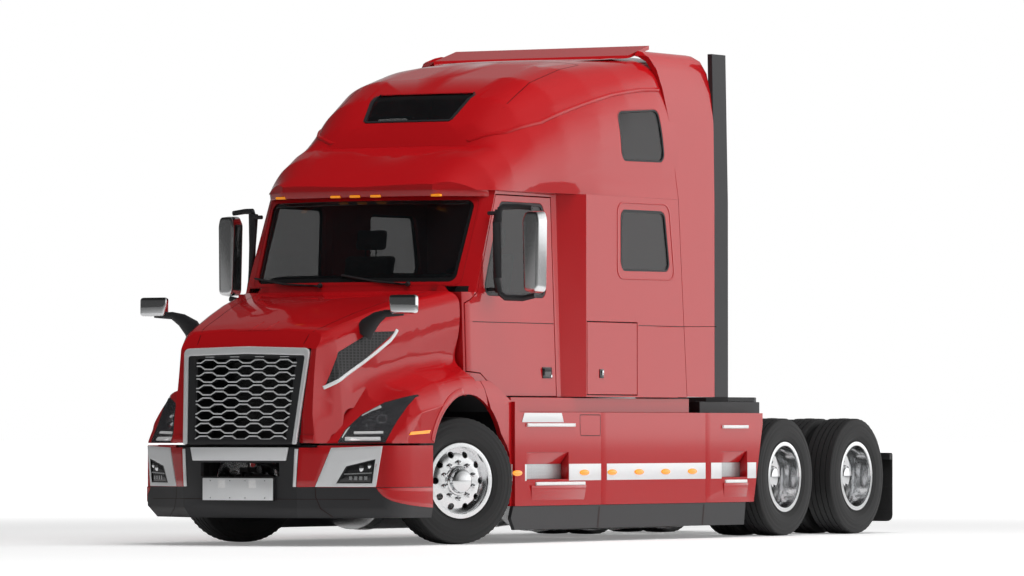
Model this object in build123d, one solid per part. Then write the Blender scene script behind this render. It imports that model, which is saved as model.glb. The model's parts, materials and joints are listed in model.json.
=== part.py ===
"""Three-axle semi truck tractor with a high-roof sleeper cab.

Millimetres, +Z up, ground at Z = 0.  The truck faces -Y and its left side is +X.
Lengths along the truck are given as distances behind the front axle and turned
into Y by aft().  Each node is one sub-part; like pieces of a node don't touch.
"""
from build123d import *
from math import atan2, cos, degrees, hypot, radians, sin, tan
import os

os.makedirs("parts", exist_ok=True)

# ---------------------------------------------------------------- driving sizes
FRONT_REACH = 1579          # number-plate bracket, ahead of the front axle
REAR_REACH = 7179           # back of the mud flaps, behind the front axle
FRONT_AXLE_Y = (FRONT_REACH - REAR_REACH) / 2
FIRST_DRIVE = 5170          # first drive axle, behind the front axle
DRIVE_SPACING = 1320
TYRE_RADIUS = 500
TYRE_WIDTH = 285
RIM_RADIUS = 285            # where tyre and rim meet
FLANGE_RADIUS = 298
FRONT_TRACK_HALF = 1035     # centre of a front tyre from the middle of the truck
DUAL_CENTRE = 910           # middle of a pair of drive wheels
DUAL_SPACING = 335          # between the two tyres of a pair
KINGPIN_X = 900
STEER_AT_REST = -25         # degrees about +Z; the truck stands with its wheels turned
FIT = 0.3                   # between pieces that seat on each other
RUNNING_GAP = 1.0           # between a shaft and what turns on it
SEAM = 8                    # round doors and lids

FRAME_HALF = 430            # outer face of a frame rail
FRAME_BOTTOM, FRAME_TOP = 720, 990
CAB_BOTTOM, CAB_TOP = 1165, 2800
COWL_Z = 2033               # foot of the windscreen
DOOR_FOOT_X, DOOR_HEAD_X = 1100, 1050
SLEEPER_X = 1220
FLARE = (1529, 1731)        # where the cab widens from door to sleeper
CAB_FRONT, CAB_BACK = 60, 3262
WALL = 50
HOOD_WALL = 25
BELT_Z = 1778
LEDGE = 48                  # the cab's front ledge lies this far under the windscreen's foot
PILLAR = 35                 # width of the cab's bevelled front corner
GLASS = 6
GLASS_DEPTH = 10            # glass set back from the skin

FAIRING_X = (1200, 1240)
FAIRING_Z = (295, 1040)


def aft(distance):
    """Y of a point this far behind the front axle."""
    return FRONT_AXLE_Y + distance


DRIVE_YS = {"front": aft(FIRST_DRIVE), "rear": aft(FIRST_DRIVE + DRIVE_SPACING)}
NODES = {}


def keep(name, *shapes):
    """Store the solids of a sub-part under its plain name."""
    NODES[name] = [solid for shape in shapes for solid in shape.solids()]


def block(x, y, z):
    """Box between (low, high) pairs; y is given behind the front axle."""
    centre = ((x[0] + x[1]) / 2, aft((y[0] + y[1]) / 2), (z[0] + z[1]) / 2)
    return Pos(*centre) * Box(x[1] - x[0], y[1] - y[0], z[1] - z[0])


def outline_face(points, inset, corner):
    """Face inside an outline, with its corners rounded and then drawn in."""
    face = make_face(Polyline(*points, close=True))
    if corner:
        face = fillet(face.vertices(), corner)
    return offset(face, -inset, kind=Kind.INTERSECTION) if inset else face


def side_prism(points, x, inset=0, corner=0):
    """Outline of (behind the front axle, height) points, run across the truck."""
    face = outline_face([(aft(y), z) for y, z in points], inset, corner)
    return extrude(Plane.YZ.offset(x[0]) * face, x[1] - x[0])


def front_prism(points, y, inset=0, corner=0):
    """Outline of (across, height) points, run along the truck."""
    face = outline_face(points, inset, corner)
    return extrude(Plane.XZ.offset(-aft(y[1])) * face, y[1] - y[0])


def plan_face(half, inset=0):
    """Symmetric plan outline from its left half, (across, behind the front axle)."""
    left = [(x, aft(y)) for x, y in half]
    right = [(-x, y) for x, y in reversed(left) if x > 0]
    face = make_face(Polyline(*left, *right, close=True))
    return offset(face, -inset, kind=Kind.INTERSECTION) if inset else face


def plan_prism(half, z, inset=0):
    """Symmetric plan outline run upwards."""
    return extrude(Plane.XY.offset(z[0]) * plan_face(half, inset), z[1] - z[0])


def swept_sections(rows, section, inset=0):
    """Form through the cross-sections of its rows, each row starting with its station."""
    return loft([section(row, inset) for row in rows], ruled=True)


def arched(points, station):
    """Cross-section from the left half of its top line, (across, height) from the middle to the foot."""
    foot_x, foot_z = points[-1]
    crest = Spline(*[(-x, z) for x, z in reversed(points)], *points[1:])
    return Plane.XZ.offset(-aft(station)) * make_face(crest + Line((-foot_x, foot_z), (foot_x, foot_z)))


def cylinder_x(radius, x, y, z):
    """Cylinder across the truck, y being behind the front axle."""
    middle = Pos((x[0] + x[1]) / 2, aft(y), z)
    return middle * Rot(0, 90, 0) * Cylinder(radius, x[1] - x[0])


def cylinder_y(radius, x, y, z):
    """Cylinder along the truck."""
    middle = Pos(x, aft((y[0] + y[1]) / 2), z)
    return middle * Rot(90, 0, 0) * Cylinder(radius, y[1] - y[0])


def mirrored(shape):
    """The same piece on the other side of the truck."""
    return mirror(shape, about=Plane.YZ)


def both(shape):
    """A piece and its mirror image."""
    return [shape, mirrored(shape)]


# ---------------------------------------------------------------- wheels
BEAD_HALF = TYRE_WIDTH / 2 - 32
TYRE_PROFILE = (            # (radius, half width), bead to crown
    (RIM_RADIUS + FIT, BEAD_HALF),
    (FLANGE_RADIUS + 1, BEAD_HALF),
    (RIM_RADIUS + 45, TYRE_WIDTH / 2 - 6),
    ((RIM_RADIUS + TYRE_RADIUS) / 2 + 15, TYRE_WIDTH / 2),
    (TYRE_RADIUS - 26, TYRE_WIDTH / 2 - 8),
    (TYRE_RADIUS, TYRE_WIDTH / 2 - 28),
)
RIM_WALL = 22
RIM_LIP = 14
HUB_RADIUS = 112
SPINDLE_RADIUS = 48
HAND_HOLES = 10
HAND_HOLE_RADIUS = 25
HAND_HOLE_CIRCLE = 212
LUG_CIRCLE = 142
LUG_RADIUS = 17
DISC = 20                   # thickness of the pressed disc


def turned(profile):
    """Solid of revolution about X from (radius, along) points."""
    face = make_face(Polyline(*[(along, radius) for radius, along in profile], close=True))
    return revolve(face, axis=Axis.X)


def tyre(x=0):
    """Tyre centred at x on the X axis."""
    half = list(TYRE_PROFILE)
    return Pos(x, 0, 0) * turned(half + [(r, -w) for r, w in reversed(half)])


def rim(x=0):
    """Rim barrel with its two lips."""
    seat = BEAD_HALF + FIT
    lip = seat + RIM_LIP
    inner = RIM_RADIUS - RIM_WALL
    profile = [(inner, -lip), (FLANGE_RADIUS, -lip), (FLANGE_RADIUS, -seat), (RIM_RADIUS, -seat),
               (RIM_RADIUS, seat), (FLANGE_RADIUS, seat), (FLANGE_RADIUS, lip), (inner, lip)]
    return Pos(x, 0, 0) * turned(profile)


def disc(at_rim, at_hub):
    """Pressed disc from the barrel to the hub face, pierced by its hand holes."""
    outer = RIM_RADIUS - RIM_WALL / 2
    knee = HUB_RADIUS + 60
    plate = turned([(0, at_hub), (knee, at_hub), (outer, at_rim),
                    (outer, at_rim - DISC), (knee, at_hub - DISC), (0, at_hub - DISC)])
    hole = Pos(at_hub, 0, 0) * Rot(0, 90, 0) * Cylinder(HAND_HOLE_RADIUS, 260)
    for index in range(HAND_HOLES):
        turn = 360 / HAND_HOLES * (index + 0.5)
        plate -= Rot(turn, 0, 0) * Pos(0, 0, HAND_HOLE_CIRCLE) * hole
    return plate


def lugs(face_x, length):
    """Ring of lug-nut caps standing on the hub face."""
    ring = []
    for index in range(HAND_HOLES):
        spot = Rot(360 / HAND_HOLES * index, 0, 0) * Pos(0, 0, LUG_CIRCLE)
        ring.append(spot * Pos(face_x + length / 2 - 1, 0, 0) * Rot(0, 90, 0)
                    * Cylinder(LUG_RADIUS, length + 2))
    return ring


def front_wheel():
    """Polished steer wheel, its disc near the outer lip, with its hub cover."""
    hub = turned([(0, -50), (HUB_RADIUS - 20, -50), (HUB_RADIUS, 40), (HUB_RADIUS, 96),
                  (96, 112), (84, 150), (70, 162), (0, 166)])
    bore = turned([(0, -61), (SPINDLE_RADIUS + RUNNING_GAP, -61),
                   (SPINDLE_RADIUS + RUNNING_GAP, 30), (0, 30)])
    wheel = rim() + disc(62, 92) + hub + lugs(92, 34)
    return wheel - bore


def dual_wheels():
    """Two rims back to back with their discs in the middle, on one hub."""
    offset_x = DUAL_SPACING / 2
    hub = turned([(0, -110), (HUB_RADIUS - 12, -110), (HUB_RADIUS, -60), (HUB_RADIUS, 40),
                  (100, 60), (92, 190), (78, 206), (0, 210)])
    bore = turned([(0, -111), (SPINDLE_RADIUS + RUNNING_GAP, -111),
                   (SPINDLE_RADIUS + RUNNING_GAP, 20), (0, 20)])
    wheel = rim(offset_x) + rim(-offset_x)
    wheel += disc(88, 22) + mirror(disc(88, 22), about=Plane.YZ)
    return wheel + hub + lugs(22, 40) - bore


def steered(side):
    """Place of a front wheel's kingpin frame: side is +1 on the left, -1 on the right."""
    return Pos(side * KINGPIN_X, FRONT_AXLE_Y, TYRE_RADIUS) * Rot(0, 0, STEER_AT_REST)


def outward(shape, side):
    """A wheel built for the left side, turned to face out on the given side."""
    return shape if side > 0 else Rot(0, 0, 180) * shape


SIDES = {"left": 1, "right": -1}
steer_wheel, steer_tyre = front_wheel(), tyre()
drive_wheel = dual_wheels()
drive_tyres = tyre(DUAL_SPACING / 2) + tyre(-DUAL_SPACING / 2)
for side_name, side in SIDES.items():
    place = steered(side) * Pos(side * (FRONT_TRACK_HALF - KINGPIN_X), 0, 0)
    keep(f"front_tyre_{side_name}", place * outward(steer_tyre, side))
    keep(f"front_wheel_{side_name}", place * outward(steer_wheel, side))
    for axle_name, axle_y in DRIVE_YS.items():
        spot = Pos(side * DUAL_CENTRE, axle_y, TYRE_RADIUS)
        keep(f"drive_tyres_{axle_name}_{side_name}", spot * outward(drive_tyres, side))
        keep(f"drive_wheels_{axle_name}_{side_name}", spot * outward(drive_wheel, side))

# ---------------------------------------------------------------- steering
KINGPIN_RADIUS = 25
EYE_RADIUS = 42
EYE_HALF = 55               # half height of the beam's eye
LUG = 40                    # thickness of a knuckle's lugs
BEAM_HALF = 42              # half width of the axle beam along the truck
BEAM_TOP = 465              # dropped middle of the beam
ARM_END = (0, 170)          # steering arm's eye from the kingpin, wheels straight
ROD_RADIUS = 18
ROD_DROP = 160              # tie rod below the spindle line


def knuckle(side):
    """Steering knuckle with its kingpin, lugs, spindle and steering arm."""
    clear = EYE_HALF + 5
    web_x = EYE_RADIUS + 7
    lug_span = (-EYE_RADIUS, web_x + 26)
    upper = Pos((lug_span[0] + lug_span[1]) / 2, 0, clear + LUG / 2) * Box(
        lug_span[1] - lug_span[0], 2 * EYE_RADIUS, LUG)
    web = Pos(web_x + 13, 0, 0) * Box(26, 2 * EYE_RADIUS, 2 * (clear + LUG))
    pin = Cylinder(KINGPIN_RADIUS, 2 * (clear + LUG))
    spindle_start = web_x + 20
    spindle_end = FRONT_TRACK_HALF - KINGPIN_X + 20
    spindle = Pos((spindle_start + spindle_end) / 2, 0, 0) * Rot(0, 90, 0) * Cylinder(
        SPINDLE_RADIUS, spindle_end - spindle_start)
    arm_z = -clear - LUG / 2
    reach = hypot(*ARM_END)
    arm = Pos(0, 0, arm_z) * Rot(0, 0, degrees(atan2(ARM_END[1], ARM_END[0]))) * Pos(
        reach / 2, 0, 0) * Box(reach, 44, LUG)
    arm += Pos(ARM_END[0], ARM_END[1], arm_z) * Cylinder(28, LUG)
    pin_down = Pos(ARM_END[0], ARM_END[1], arm_z - LUG / 2 - 25) * Cylinder(12, 50)
    body = upper + mirror(upper, about=Plane.XY) + web + pin + spindle + arm + pin_down
    return body if side > 0 else mirror(body, about=Plane.YZ)


for side_name, side in SIDES.items():
    keep(f"knuckle_{side_name}", steered(side) * knuckle(side))

eye = Pos(KINGPIN_X, FRONT_AXLE_Y, TYRE_RADIUS) * Cylinder(EYE_RADIUS - 4, 2 * EYE_HALF)
bore = Pos(KINGPIN_X, FRONT_AXLE_Y, TYRE_RADIUS) * Cylinder(
    KINGPIN_RADIUS + RUNNING_GAP, 2 * EYE_HALF + 2)
BEAM_OUTLINE = (            # (across, height): drops between the springs
    (0, BEAM_TOP - 90), (520, BEAM_TOP - 90), (700, 450), (KINGPIN_X - 20, 450),
    (KINGPIN_X - 20, 545), (690, 545), (540, BEAM_TOP), (0, BEAM_TOP),
)
half_beam = front_prism(BEAM_OUTLINE, (-BEAM_HALF + 6, BEAM_HALF - 6)) + eye - bore
keep("front_axle", half_beam + mirrored(half_beam))


def rod_end(side):
    """Centre of a tie rod's eye at rest."""
    x, y = side * ARM_END[0], ARM_END[1]
    turn = radians(STEER_AT_REST)
    return (side * KINGPIN_X + x * cos(turn) - y * sin(turn),
            FRONT_AXLE_Y + x * sin(turn) + y * cos(turn), TYRE_RADIUS - ROD_DROP)


left_end, right_end = rod_end(1), rod_end(-1)
tie_rod = Pos(0, left_end[1], left_end[2]) * Pos((left_end[0] + right_end[0]) / 2, 0, 0) * Rot(
    0, 90, 0) * Cylinder(ROD_RADIUS, left_end[0] - right_end[0] - 40)
for end in (left_end, right_end):
    tie_rod += Pos(*end) * Cylinder(26, 34)
for end in (left_end, right_end):
    tie_rod -= Pos(*end) * Cylinder(12 + RUNNING_GAP, 36)
keep("tie_rod", tie_rod)

# ---------------------------------------------------------------- chassis frame
RAIL_WEB = 12
RAIL_FLANGE = 80
FRAME_FRONT, FRAME_REAR = -1280, 7120
CROSSMEMBERS = (-1200, 2000, 3200, 4300, 5830, 7050)     # behind the front axle
FIFTH_WHEEL_AT = 5830
FIFTH_PIN_Z = 1085
FIFTH_PLATE = (1132, 1180)
FIFTH_HALF = 300            # mounting brackets, either side of the pin


def rail():
    """One frame rail: a channel open to the middle of the truck."""
    outer = block((FRAME_HALF - RAIL_FLANGE, FRAME_HALF), (FRAME_FRONT, FRAME_REAR),
                  (FRAME_BOTTOM, FRAME_TOP))
    hollow = block((FRAME_HALF - RAIL_FLANGE - 1, FRAME_HALF - RAIL_WEB),
                   (FRAME_FRONT - 1, FRAME_REAR + 1),
                   (FRAME_BOTTOM + RAIL_WEB, FRAME_TOP - RAIL_WEB))
    return outer - hollow


def fifth_wheel_base():
    """Mounting foot on a rail with the ear that carries the pivot pin."""
    foot = block((FRAME_HALF - RAIL_FLANGE, FRAME_HALF + 40),
                 (FIFTH_WHEEL_AT - FIFTH_HALF, FIFTH_WHEEL_AT + FIFTH_HALF),
                 (FRAME_TOP, FRAME_TOP + 18))
    ear = side_prism([(FIFTH_WHEEL_AT - 130, FRAME_TOP + 18), (FIFTH_WHEEL_AT + 130, FRAME_TOP + 18),
                      (FIFTH_WHEEL_AT + 30, FIFTH_PIN_Z + 26), (FIFTH_WHEEL_AT - 30, FIFTH_PIN_Z + 26)],
                     (FRAME_HALF - 10, FRAME_HALF + 30))
    pin = cylinder_x(20, (FRAME_HALF - 60, FRAME_HALF - 5), FIFTH_WHEEL_AT, FIFTH_PIN_Z)
    return foot + ear + pin


chassis = rail() + fifth_wheel_base()
chassis += mirrored(chassis)
for station in CROSSMEMBERS:
    chassis += block((-FRAME_HALF + RAIL_WEB, FRAME_HALF - RAIL_WEB), (station - 45, station + 45),
                     (FRAME_BOTTOM + 90, FRAME_TOP - 40))
FLAP_X = (620, 1200)
FLAP_Z = (100, 694)
FLAP = 15
HANGER_BACK = REAR_REACH - FLAP - FIT
flap_arm = block((FRAME_HALF - 20, FLAP_X[1]), (HANGER_BACK - 45, HANGER_BACK), (FLAP_Z[1] - 54, FLAP_Z[1] + 6))
flap_arm += block((FRAME_HALF - RAIL_WEB, FRAME_HALF + 30), (FRAME_REAR - 125, HANGER_BACK),
                  (FLAP_Z[1] - 54, FRAME_BOTTOM + 140))
chassis += flap_arm + mirrored(flap_arm)
keep("chassis_frame", chassis)
keep("mud_flaps", *both(block(FLAP_X, (REAR_REACH - FLAP, REAR_REACH), FLAP_Z)))

plate = plan_prism([(0, FIFTH_WHEEL_AT - 460), (330, FIFTH_WHEEL_AT - 460),
                    (455, FIFTH_WHEEL_AT - 300), (455, FIFTH_WHEEL_AT + 180),
                    (290, FIFTH_WHEEL_AT + 520), (60, FIFTH_WHEEL_AT + 520),
                    (0, FIFTH_WHEEL_AT + 520)], FIFTH_PLATE)
KINGPIN_BORE = 26           # radius of the closed jaws, for a 2 inch kingpin
throat = Plane.XY.offset(FIFTH_PLATE[0] - 1) * make_face(Polyline(
    (-KINGPIN_BORE, aft(FIFTH_WHEEL_AT + 26)), (KINGPIN_BORE, aft(FIFTH_WHEEL_AT + 26)),
    (210, aft(FIFTH_WHEEL_AT + 530)), (-210, aft(FIFTH_WHEEL_AT + 530)), close=True))
plate -= extrude(throat, 60)
jaw = Pos(0, aft(FIFTH_WHEEL_AT), (FIFTH_PLATE[0] + FIFTH_PLATE[1]) / 2)
plate += jaw * Cylinder(KINGPIN_BORE + 34, FIFTH_PLATE[1] - FIFTH_PLATE[0])
plate -= jaw * Cylinder(KINGPIN_BORE, 200)
for side in (1, -1):
    hanger = side_prism([(FIFTH_WHEEL_AT - 90, FIFTH_PLATE[0] + 1), (FIFTH_WHEEL_AT + 90, FIFTH_PLATE[0] + 1),
                         (FIFTH_WHEEL_AT + 36, FIFTH_PIN_Z - 32), (FIFTH_WHEEL_AT - 36, FIFTH_PIN_Z - 32)],
                        (FRAME_HALF - 56, FRAME_HALF - 16))
    hanger -= cylinder_x(20 + RUNNING_GAP, (0, FRAME_HALF), FIFTH_WHEEL_AT, FIFTH_PIN_Z)
    plate += hanger if side > 0 else mirrored(hanger)
keep("fifth_wheel", plate)

# ---------------------------------------------------------------- axles and springs
AXLE_TUBE = 68
SPRING_X = (FRAME_HALF - 75, FRAME_HALF - 5)
PAD_TOP = 600


def drive_axle(station):
    """Axle tube with its differential bowl and spindles."""
    end = DUAL_CENTRE + 10
    shoulder = DUAL_CENTRE - 125
    axle = cylinder_x(SPINDLE_RADIUS, (-end, end), station, TYRE_RADIUS)
    axle += cylinder_x(AXLE_TUBE, (-shoulder, shoulder), station, TYRE_RADIUS)
    bowl = Pos(60, aft(station), TYRE_RADIUS + 20) * Sphere(205)
    nose = cylinder_y(85, 0, (station - 330, station), TYRE_RADIUS + 55)
    pads = [block((SPRING_X[0], SPRING_X[1]), (station - 80, station + 80),
                  (TYRE_RADIUS + 10, PAD_TOP - 28))]
    return axle + bowl + nose + pads[0] + mirrored(pads[0])


AXLE_STATIONS = (FIRST_DRIVE, FIRST_DRIVE + DRIVE_SPACING)
axles = [drive_axle(station) for station in AXLE_STATIONS]

SHAFT_Z = TYRE_RADIUS + 55
shafts = [cylinder_y(55, 0, (FIRST_DRIVE + 207, FIRST_DRIVE + DRIVE_SPACING - 330 - FIT), SHAFT_Z)]
GEARBOX_REAR = 1250
GEARBOX_Z = 760
run = (FIRST_DRIVE - 330 - FIT - 60, GEARBOX_REAR + FIT + 60)
slope = degrees(atan2(GEARBOX_Z - SHAFT_Z, run[0] - run[1]))
main_shaft = Pos(0, aft(sum(run) / 2), (SHAFT_Z + GEARBOX_Z) / 2) * Rot(90 - slope, 0, 0) * Cylinder(
    55, hypot(run[0] - run[1], GEARBOX_Z - SHAFT_Z))
main_shaft += cylinder_y(62, 0, (run[0] - 30, FIRST_DRIVE - 330 - FIT), SHAFT_Z)
main_shaft += cylinder_y(62, 0, (GEARBOX_REAR + FIT, run[1] + 30), GEARBOX_Z)
keep("drive_axles", *axles, main_shaft, *shafts)

springs = []
for station in AXLE_STATIONS:
    arm = side_prism([(station - 540, 650), (station - 540, FRAME_BOTTOM), (station - 440, FRAME_BOTTOM),
                      (station - 420, 660), (station - 120, PAD_TOP + 30), (station + 100, PAD_TOP + 10),
                      (station + 260, 500), (station + 470, 500), (station + 470, 455),
                      (station + 230, 455), (station + 90, PAD_TOP - 28), (station - 130, PAD_TOP - 28),
                      (station - 440, 620)], SPRING_X)
    bag = Pos((SPRING_X[0] + SPRING_X[1]) / 2, aft(station + 365), (500 + FRAME_BOTTOM) / 2) * Cylinder(
        118, FRAME_BOTTOM - 500)
    springs += both(arm + bag)
LEAF = 16
LEAF_HALF = 720
leaf_outline = [(-LEAF_HALF, 640), (-LEAF_HALF, FRAME_BOTTOM), (-LEAF_HALF + 60, FRAME_BOTTOM),
                (-LEAF_HALF + 60, 640 + LEAF), (-110, 548 + 2 * LEAF), (110, 548 + 2 * LEAF),
                (LEAF_HALF - 60, 640 + LEAF), (LEAF_HALF - 60, FRAME_BOTTOM), (LEAF_HALF, FRAME_BOTTOM),
                (LEAF_HALF, 640), (110, 548), (70, 548), (70, BEAM_TOP), (-70, BEAM_TOP), (-70, 548),
                (-110, 548)]
keep("springs", *springs, *both(side_prism(leaf_outline, SPRING_X)))

# ---------------------------------------------------------------- engine and radiator
ENGINE_HALF = 325
engine = block((-ENGINE_HALF, ENGINE_HALF), (-1020, 40), (640, 1500))
engine += block((-210, 210), (40, GEARBOX_REAR), (640, 980))
for station in (-900, 700):
    engine += block((-FRAME_HALF + RAIL_WEB, FRAME_HALF - RAIL_WEB), (station - 40, station + 40), (760, 840))
keep("engine", engine, block((-410, 410), (-1180, -1080), (FRAME_TOP + FIT, 1480)))

# ---------------------------------------------------------------- fuel tanks
TANK_X = 830
TANK_RADIUS = 322
TANK_Z = 408
TANKS = ((1440, 2660), (2690, 3910))
tanks = []
for front, rear in TANKS:
    tank = cylinder_y(TANK_RADIUS, TANK_X, (front, rear), TANK_Z)
    for station in (front + 180, rear - 180):
        strap = cylinder_y(TANK_RADIUS + 8, TANK_X, (station - 35, station + 35), TANK_Z)
        hook = block((FRAME_HALF, FRAME_HALF + 150), (station - 35, station + 35),
                     (TANK_Z, FRAME_TOP - 30))
        tank += strap + hook
    tanks += both(tank)
keep("fuel_tanks", *tanks)

# ---------------------------------------------------------------- cab
DOOR = (                    # (behind the front axle, height), clockwise from the foot of the pillar
    (77, 1354), (77, 1900), (245, 1990), (570, 2773), (1449, 2773), (1463, 1160), (568, 1160),
    (261, 1341),
)
DOOR_WINDOW = ((330, 1962), (640, 2715), (1335, 2715), (1335, 1955))
LUGGAGE = ((1740, 1178), (1740, BELT_Z), (2577, BELT_Z), (2577, 1178))
SLEEPER_WINDOWS = (
    ((2304, 2192), (2304, 2688), (3038, 2691), (3130, 2200)),
    ((2350, 3090), (2317, 3495), (2958, 3535), (3050, 3098)),
)
WINDSCREEN = ((-925, COWL_Z + 35), (-945, 2722), (945, 2722), (925, COWL_Z + 35))
SKYLIGHT = ((-406, 3376), (-478, 3618), (478, 3618), (406, 3376))
SKYLIGHT_CORNER = 28
SKIN_X = (900, 1400)        # side cuts start inside the skin
WINDOW_CORNER = 70
DOOR_CORNER = 75
SCREEN_CORNER = 60


def cab_section(z, bow_y, corner, door_x, inset):
    """Plan outline of the cab at a height: bowed front, doors, flare and sleeper."""
    corner_x, corner_y = corner[0] - inset, aft(corner[1] + inset)
    side = [(corner_x, corner_y), (door_x - inset, aft(corner[1] + 75 + inset)),
            (door_x - inset, aft(FLARE[0])), (SLEEPER_X - inset, aft(FLARE[1])),
            (SLEEPER_X - inset, aft(CAB_BACK - inset))]
    other = [(-x, y) for x, y in reversed(side)]
    front = ThreePointArc(other[-1], (0, aft(bow_y + inset)), side[0])
    edges = front + Polyline(*side) + Line(side[-1], other[0]) + Polyline(*other)
    return Plane.XY.offset(z) * make_face(edges)


def at_height(z, low, high):
    """Value at height z on the line through two (height, value) pairs."""
    return low[1] + (high[1] - low[1]) * (z - low[0]) / (high[0] - low[0])


def door_x_at(z):
    return at_height(z, (CAB_BOTTOM, DOOR_FOOT_X), (CAB_TOP, DOOR_HEAD_X))


def cab_form(inset=0, floor=0, roof=0):
    """Closed form of the cab: a straight lower box and a raked, bowed upper one."""
    waist = COWL_Z if inset > WALL / 2 else COWL_Z - LEDGE
    lower = [cab_section(z, CAB_FRONT - 1, (door_x_at(z) - PILLAR, CAB_FRONT), door_x_at(z), inset)
             for z in (CAB_BOTTOM + floor, waist + 1)]
    upper = [cab_section(z, at_height(z, (COWL_Z, -80), (2733, 200)),
                         (at_height(z, (COWL_Z, 965), (2733, 985)),
                          at_height(z, (COWL_Z, 164), (2733, 469))), door_x_at(z), inset)
             for z in (waist, CAB_TOP + roof)]
    return loft(lower, ruled=True) + loft(upper, ruled=True)


cab_outer = cab_form()
cab_shell = cab_outer - cab_form(WALL, floor=-1, roof=1)
cab_shell -= side_prism(DOOR, (-1400, 1400))
cab_shell -= front_prism(WINDSCREEN, (-300, 700), corner=SCREEN_CORNER)
for opening in (side_prism(LUGGAGE, SKIN_X), side_prism(SLEEPER_WINDOWS[0], SKIN_X, corner=WINDOW_CORNER)):
    cab_shell -= opening + mirrored(opening)
PANEL_SPLIT = 1449
BACK_SPLIT = CAB_BACK - WALL
front_region = block((-1400, 1400), (-300, PANEL_SPLIT), (CAB_BOTTOM - 10, CAB_TOP + 10))
back_region = block((-SLEEPER_X + WALL, SLEEPER_X - WALL), (BACK_SPLIT - 1, CAB_BACK + 1),
                    (CAB_BOTTOM - 10, CAB_TOP + 10))
keep("cab_front", cab_shell & front_region)
keep("cab_back", cab_shell & back_region)
rear_tip = side_prism([(CAB_BACK, 1168), (3412, 1168), (3266, CAB_TOP), (CAB_BACK, CAB_TOP)],
                      (SLEEPER_X - WALL, SLEEPER_X))
sides = cab_shell - front_region - back_region + rear_tip + mirrored(rear_tip)
keep("cab_sides", sides)

FLOOR = 60
floor_edge = DOOR_FOOT_X - WALL - SEAM
floor_plan = [(0, CAB_FRONT + WALL + FIT), (floor_edge - 40, CAB_FRONT + WALL + FIT),
              (floor_edge, CAB_FRONT + WALL + 85), (floor_edge, FLARE[0] + 6),
              (SLEEPER_X - WALL - FIT, FLARE[1] + 16), (SLEEPER_X - WALL - FIT, BACK_SPLIT - FIT),
              (0, BACK_SPLIT - FIT)]
floor = plan_prism(floor_plan, (CAB_BOTTOM, CAB_BOTTOM + FLOOR))
for x, station in ((380, 250), (380, 2950)):
    for mount in both(block((x - 40, x + 40), (station - 60, station + 60), (FRAME_TOP, CAB_BOTTOM))):
        floor += mount
keep("cab_floor", floor)

VISOR_Z = CAB_TOP + FIT
ROOF_ROWS = (               # station, then (across, height) from the ridge over the seam and strake to the foot
    (144, (0, 2830), (300, 2829), (520, 2828), (640, 2826), (700, 2824), (750, 2821), (800, 2816), (850, 2809),
     (880, VISOR_Z)),
    (300, (0, 2940), (350, 2937), (600, 2928), (700, 2915), (760, 2898), (810, 2876), (850, 2850), (882, 2822),
     (905, VISOR_Z)),
    (560, (0, 3095), (380, 3092), (680, 3080), (800, 3062), (870, 3035), (930, 2995), (985, 2935), (1035, 2860),
     (1065, VISOR_Z)),
    (800, (0, 3171), (420, 3170), (740, 3162), (860, 3148), (930, 3125), (985, 3085), (1035, 3020), (1072, 2925),
     (1090, VISOR_Z)),
    (930, (0, 3374), (440, 3362), (710, 3318), (820, 3262), (885, 3218), (935, 3180), (1010, 3115), (1070, 3000),
     (1095, VISOR_Z)),
    (1166, (0, 3583), (450, 3572), (750, 3522), (870, 3445), (930, 3378), (965, 3330), (1030, 3240), (1090, 3090),
     (1106, VISOR_Z)),
    (1548, (0, 3762), (460, 3752), (780, 3712), (940, 3622), (1020, 3520), (1050, 3458), (1092, 3370), (1142, 3200),
     (1155, VISOR_Z)),
    (2031, (0, 3884), (460, 3874), (790, 3836), (990, 3740), (1075, 3640), (1100, 3590), (1130, 3520), (1185, 3320),
     (1199, 3060), (1205, VISOR_Z)),
    (2500, (0, 3945), (460, 3938), (820, 3902), (1030, 3820), (1110, 3730), (1130, 3685), (1155, 3620), (1200, 3400),
     (1209, 3100), (1212, VISOR_Z)),
    (3000, (0, 3995), (460, 3990), (840, 3962), (1060, 3890), (1130, 3800), (1147, 3750), (1165, 3680), (1210, 3450),
     (1217, 3120), (SLEEPER_X, VISOR_Z)),
    (CAB_BACK, (0, 4010), (460, 4005), (850, 3978), (1065, 3905), (1135, 3815), (1150, 3765), (1168, 3690),
     (1210, 3450), (1217, 3120), (SLEEPER_X, VISOR_Z)),
)
VISOR_ROWS = 2              # solid rows of the visor, ahead of the headroom
VISOR_PLAN = ((0, 144), (700, 180), (1045, 470), (1300, 900), (1300, CAB_BACK), (0, CAB_BACK))


def roof_section(row, inset):
    station, *points = row
    if inset:
        floor = VISOR_Z + inset
        upper = [(max(x - inset, 0), z - inset) for x, z in points if z - inset > floor + WALL]
        points = [*upper, (points[-1][0] - inset, floor)]
        station = min(station, CAB_BACK - inset)
    return arched(points, station)


def roof_form(inset=0):
    """Closed form of the roof cap: visor, scooped shoulders and raised dome."""
    form = swept_sections(ROOF_ROWS[VISOR_ROWS if inset else 0:], roof_section, inset)
    return form & plan_prism(VISOR_PLAN, (VISOR_Z - 10, 4200))


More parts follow.
